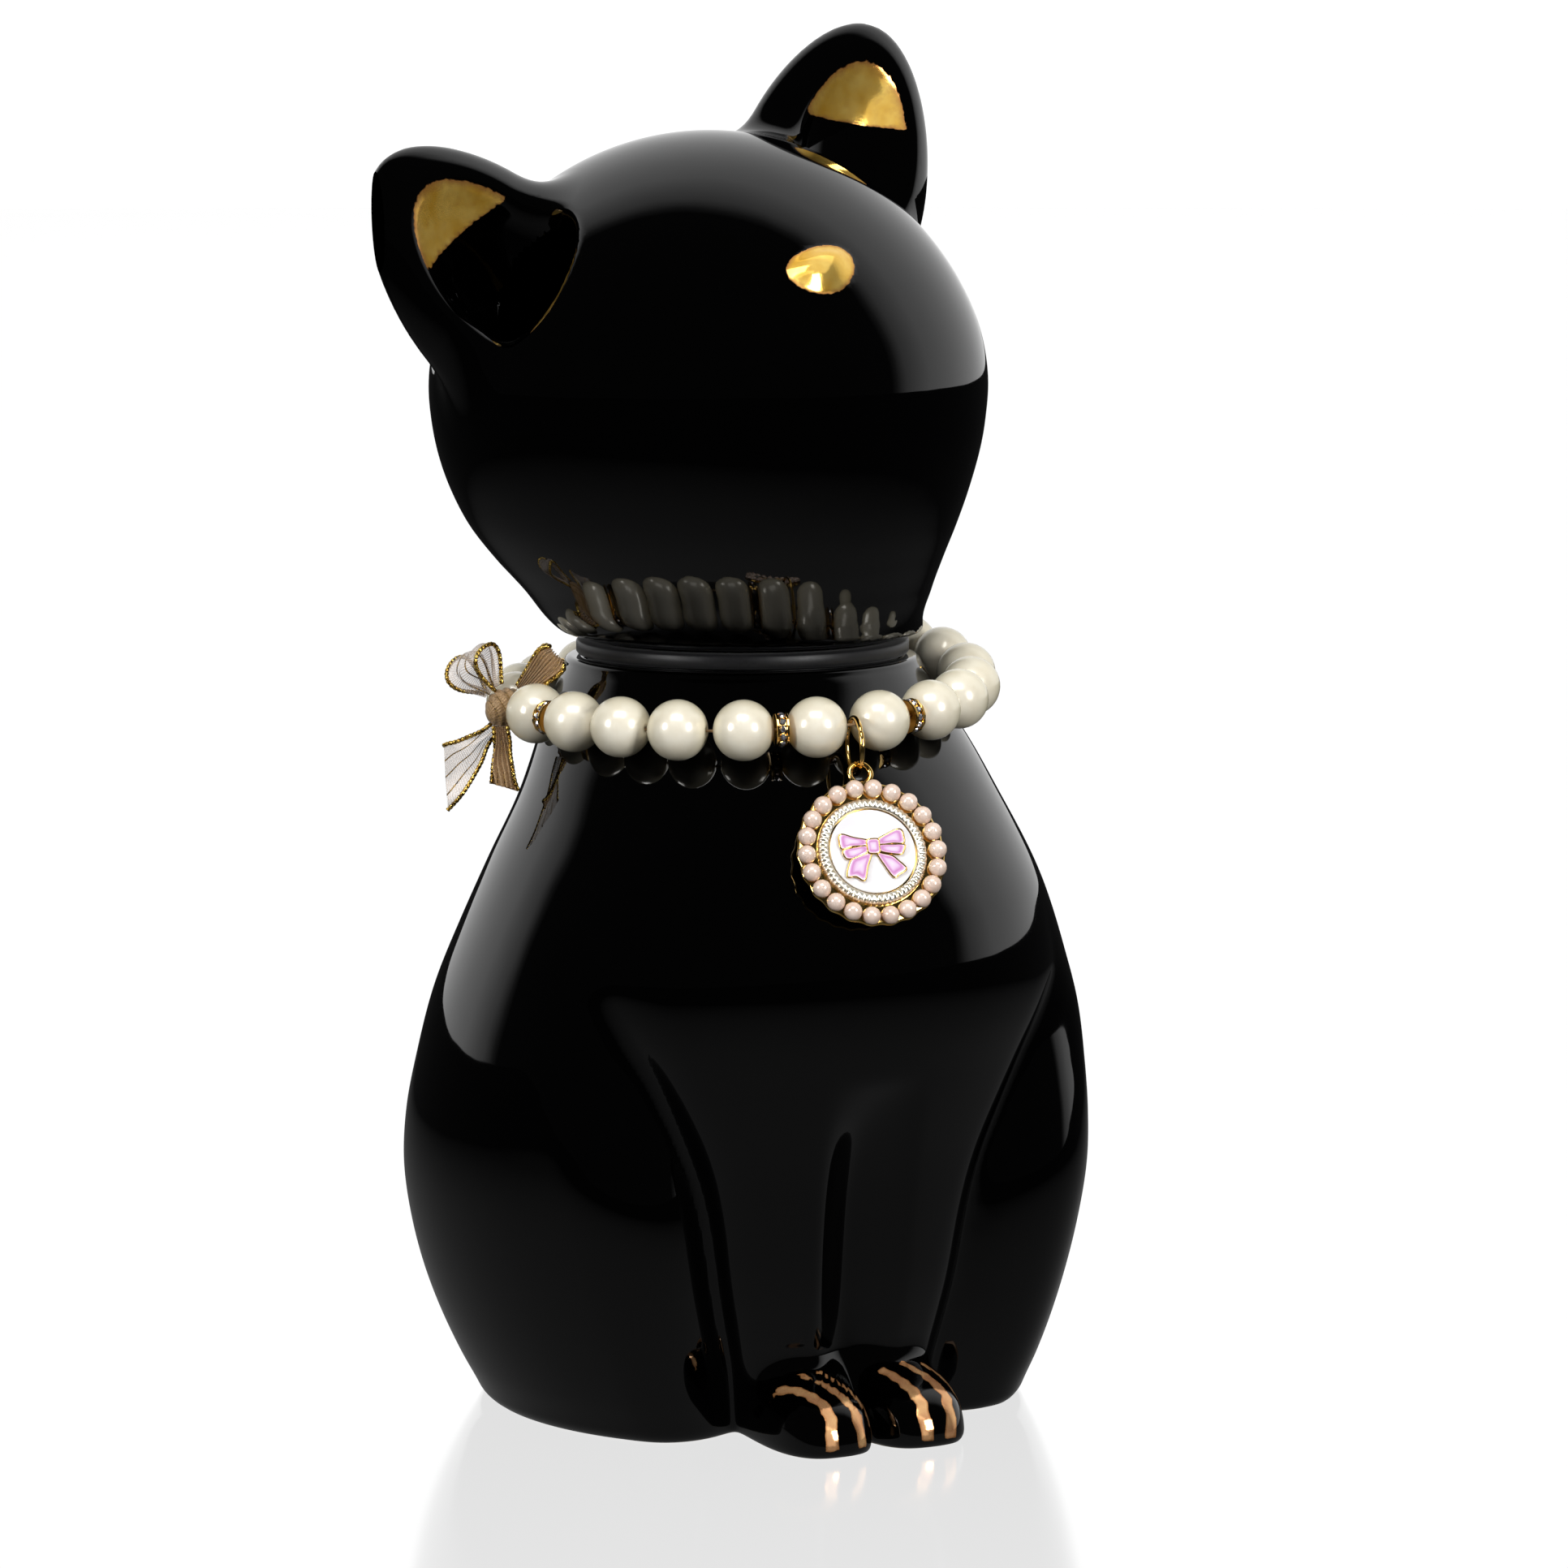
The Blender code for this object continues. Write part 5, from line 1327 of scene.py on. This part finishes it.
def buildFloor():
    # a pale glossy table top: plain white where it is seen, with a faint mirror image, and dimmer in
    # reflections, ending softly in front of the object
    rings = np.concatenate([[0.02], np.geomspace(0.1, studio["floorRadius"], 24)])
    a = np.linspace(0, 2 * pi, 96, endpoint=False)
    points = np.stack([np.outer(rings, np.cos(a)), np.outer(rings, np.sin(a)), np.zeros((len(rings), 96))],
                      axis=-1)
    flat = np.vstack([points.reshape(-1, 3), [[0, 0, 0]]])
    mesh = makeMesh("floor", flat, [gridFaces(len(rings), 96), capFaces(0, 96, len(rings) * 96, True)])
    mesh.flip_normals()
    material, tree, _ = newMaterial("whiteAcrylicTable", {"Roughness": 0.2})
    coords = addNode(tree, "ShaderNodeTexCoord")
    away = addNode(tree, "ShaderNodeVectorMath", {"operation": "LENGTH"}, {0: coords.outputs["Object"]})
    spread = mapFrom(tree, 0.0, 0.6, away.outputs["Value"])
    dim = ramp(tree, spread, ((0.0, studio["tableGlow"]), (0.25, 0.11), (0.75, 0.012)))
    glow = addNode(tree, "ShaderNodeEmission", {"Strength": 1.0}, {"Color": dim})
    white = addNode(tree, "ShaderNodeEmission", {"Color": (1, 1, 1, 1), "Strength": studio["tableWhite"]})
    mirror = addNode(tree, "ShaderNodeBsdfGlossy", {"Roughness": 0.12, "Color": (1, 1, 1, 1)})
    gloss = addNode(tree, "ShaderNodeFresnel", {"IOR": 1.5})
    seen = addNode(tree, "ShaderNodeMixShader", {}, {0: gloss.outputs[0], 1: white.outputs[0],
                                                     2: mirror.outputs[0]})
    path = addNode(tree, "ShaderNodeLightPath")
    both = addNode(tree, "ShaderNodeMixShader", {}, {0: path.outputs["Is Camera Ray"], 1: glow.outputs[0],
                                                     2: seen.outputs[0]})
    tree.links.new(both.outputs[0], tree.nodes["Material Output"].inputs["Surface"])
    floor = bpy.data.objects.new("floor", mesh)
    bpy.context.scene.collection.objects.link(floor)
    mesh.materials.append(material)


def buildWorld():
    # a white backdrop behind and overhead, a dark room in front, and paler walls to the sides; seen
    # directly, the backdrop is plain white all round
    world = bpy.data.worlds.new("studio")
    bpy.context.scene.world = world
    world.use_nodes = True
    tree = world.node_tree
    tree.nodes.clear()
    coords = addNode(tree, "ShaderNodeTexCoord")
    a = studio["azimuth"]
    front = addNode(tree, "ShaderNodeVectorMath", {"operation": "DOT_PRODUCT", 1: (sin(a), -cos(a), 0.0)},
                    {0: coords.outputs["Generated"]})
    right = addNode(tree, "ShaderNodeVectorMath", {"operation": "DOT_PRODUCT", 1: (cos(a), sin(a), 0.0)},
                    {0: coords.outputs["Generated"]})
    # the backdrop starts just behind overhead, and reaches further forward on the right
    wall = addNode(tree, "ShaderNodeMath", {"operation": "MULTIPLY_ADD", 1: -0.14},
                   {0: right.outputs["Value"], 2: front.outputs["Value"]})
    shade = ramp(tree, mapFrom(tree, -1.0, 1.0, wall.outputs[0]),
                 ((0.0, 1.0), (0.32, 0.85), (0.43, 0.45), (0.475, 0.10), (0.50, studio["room"])))
    reflected = addNode(tree, "ShaderNodeBackground", {"Strength": 1.0}, {"Color": shade})
    seen = addNode(tree, "ShaderNodeBackground", {"Color": (1, 1, 1, 1), "Strength": 1.15})
    path = addNode(tree, "ShaderNodeLightPath")
    mix = addNode(tree, "ShaderNodeMixShader", {}, {0: path.outputs["Is Camera Ray"],
                                                    1: reflected.outputs[0], 2: seen.outputs[0]})
    addNode(tree, "ShaderNodeOutputWorld", {}, {"Surface": mix.outputs[0]})


def addSoftBox(name, azimuth, elevation, distance, size, watts):
    # an area light aimed at the object's middle; azimuth is from the camera's side towards its right
    a, e = studio["azimuth"] + radians(azimuth), radians(elevation)
    back = Vector((sin(a) * cos(e), -cos(a) * cos(e), sin(e)))
    data = bpy.data.lights.new(name, "AREA")
    data.shape, data.size, data.size_y, data.energy = "RECTANGLE", size[0], size[1], watts
    light = bpy.data.objects.new(name, data)
    light.location = Vector((0, 0, 0.11)) + back * distance
    light.rotation_euler = back.to_track_quat("Z", "Y").to_euler()
    bpy.context.scene.collection.objects.link(light)
    return light


buildCamera()
buildFloor()
buildWorld()
softBoxes = [addSoftBox("leftBox", -50, 16, 1.1, (0.22, 0.34), 5.0),
             addSoftBox("rightBox", 44, 16, 1.1, (0.26, 0.40), 7.0),
             addSoftBox("frontFill", -5, 55, 1.2, (0.8, 0.5), 7.5),
             addSoftBox("lowBounce", 0, -35, 0.5, (0.5, 0.2), 3.0)]
jewellery = bpy.data.collections.new("softlyLit")
for item in list(bpy.data.objects):
    if item.get("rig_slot") not in ("black_glaze", None) or item.get("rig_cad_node", "x")[:4] in (
            "pear", "rond", "char", "ribb", "jump", "elas"):
        jewellery.objects.link(item)
for light in softBoxes:
    light.light_linking.receiver_collection = jewellery
goldOnly = bpy.data.collections.new("lustreFilms")
for name in ("toeLustre", "earAndNoseLustre"):
    goldOnly.objects.link(bpy.data.objects[name])
for place in (("goldWash", -12, 5, 0.9, (2.2, 1.8), 9.0), ("goldTop", 20, 65, 0.9, (1.7, 1.2), 5.0)):
    addSoftBox(*place).light_linking.receiver_collection = goldOnly
bpy.context.scene.view_settings.view_transform = "Standard"
print("studio ready")
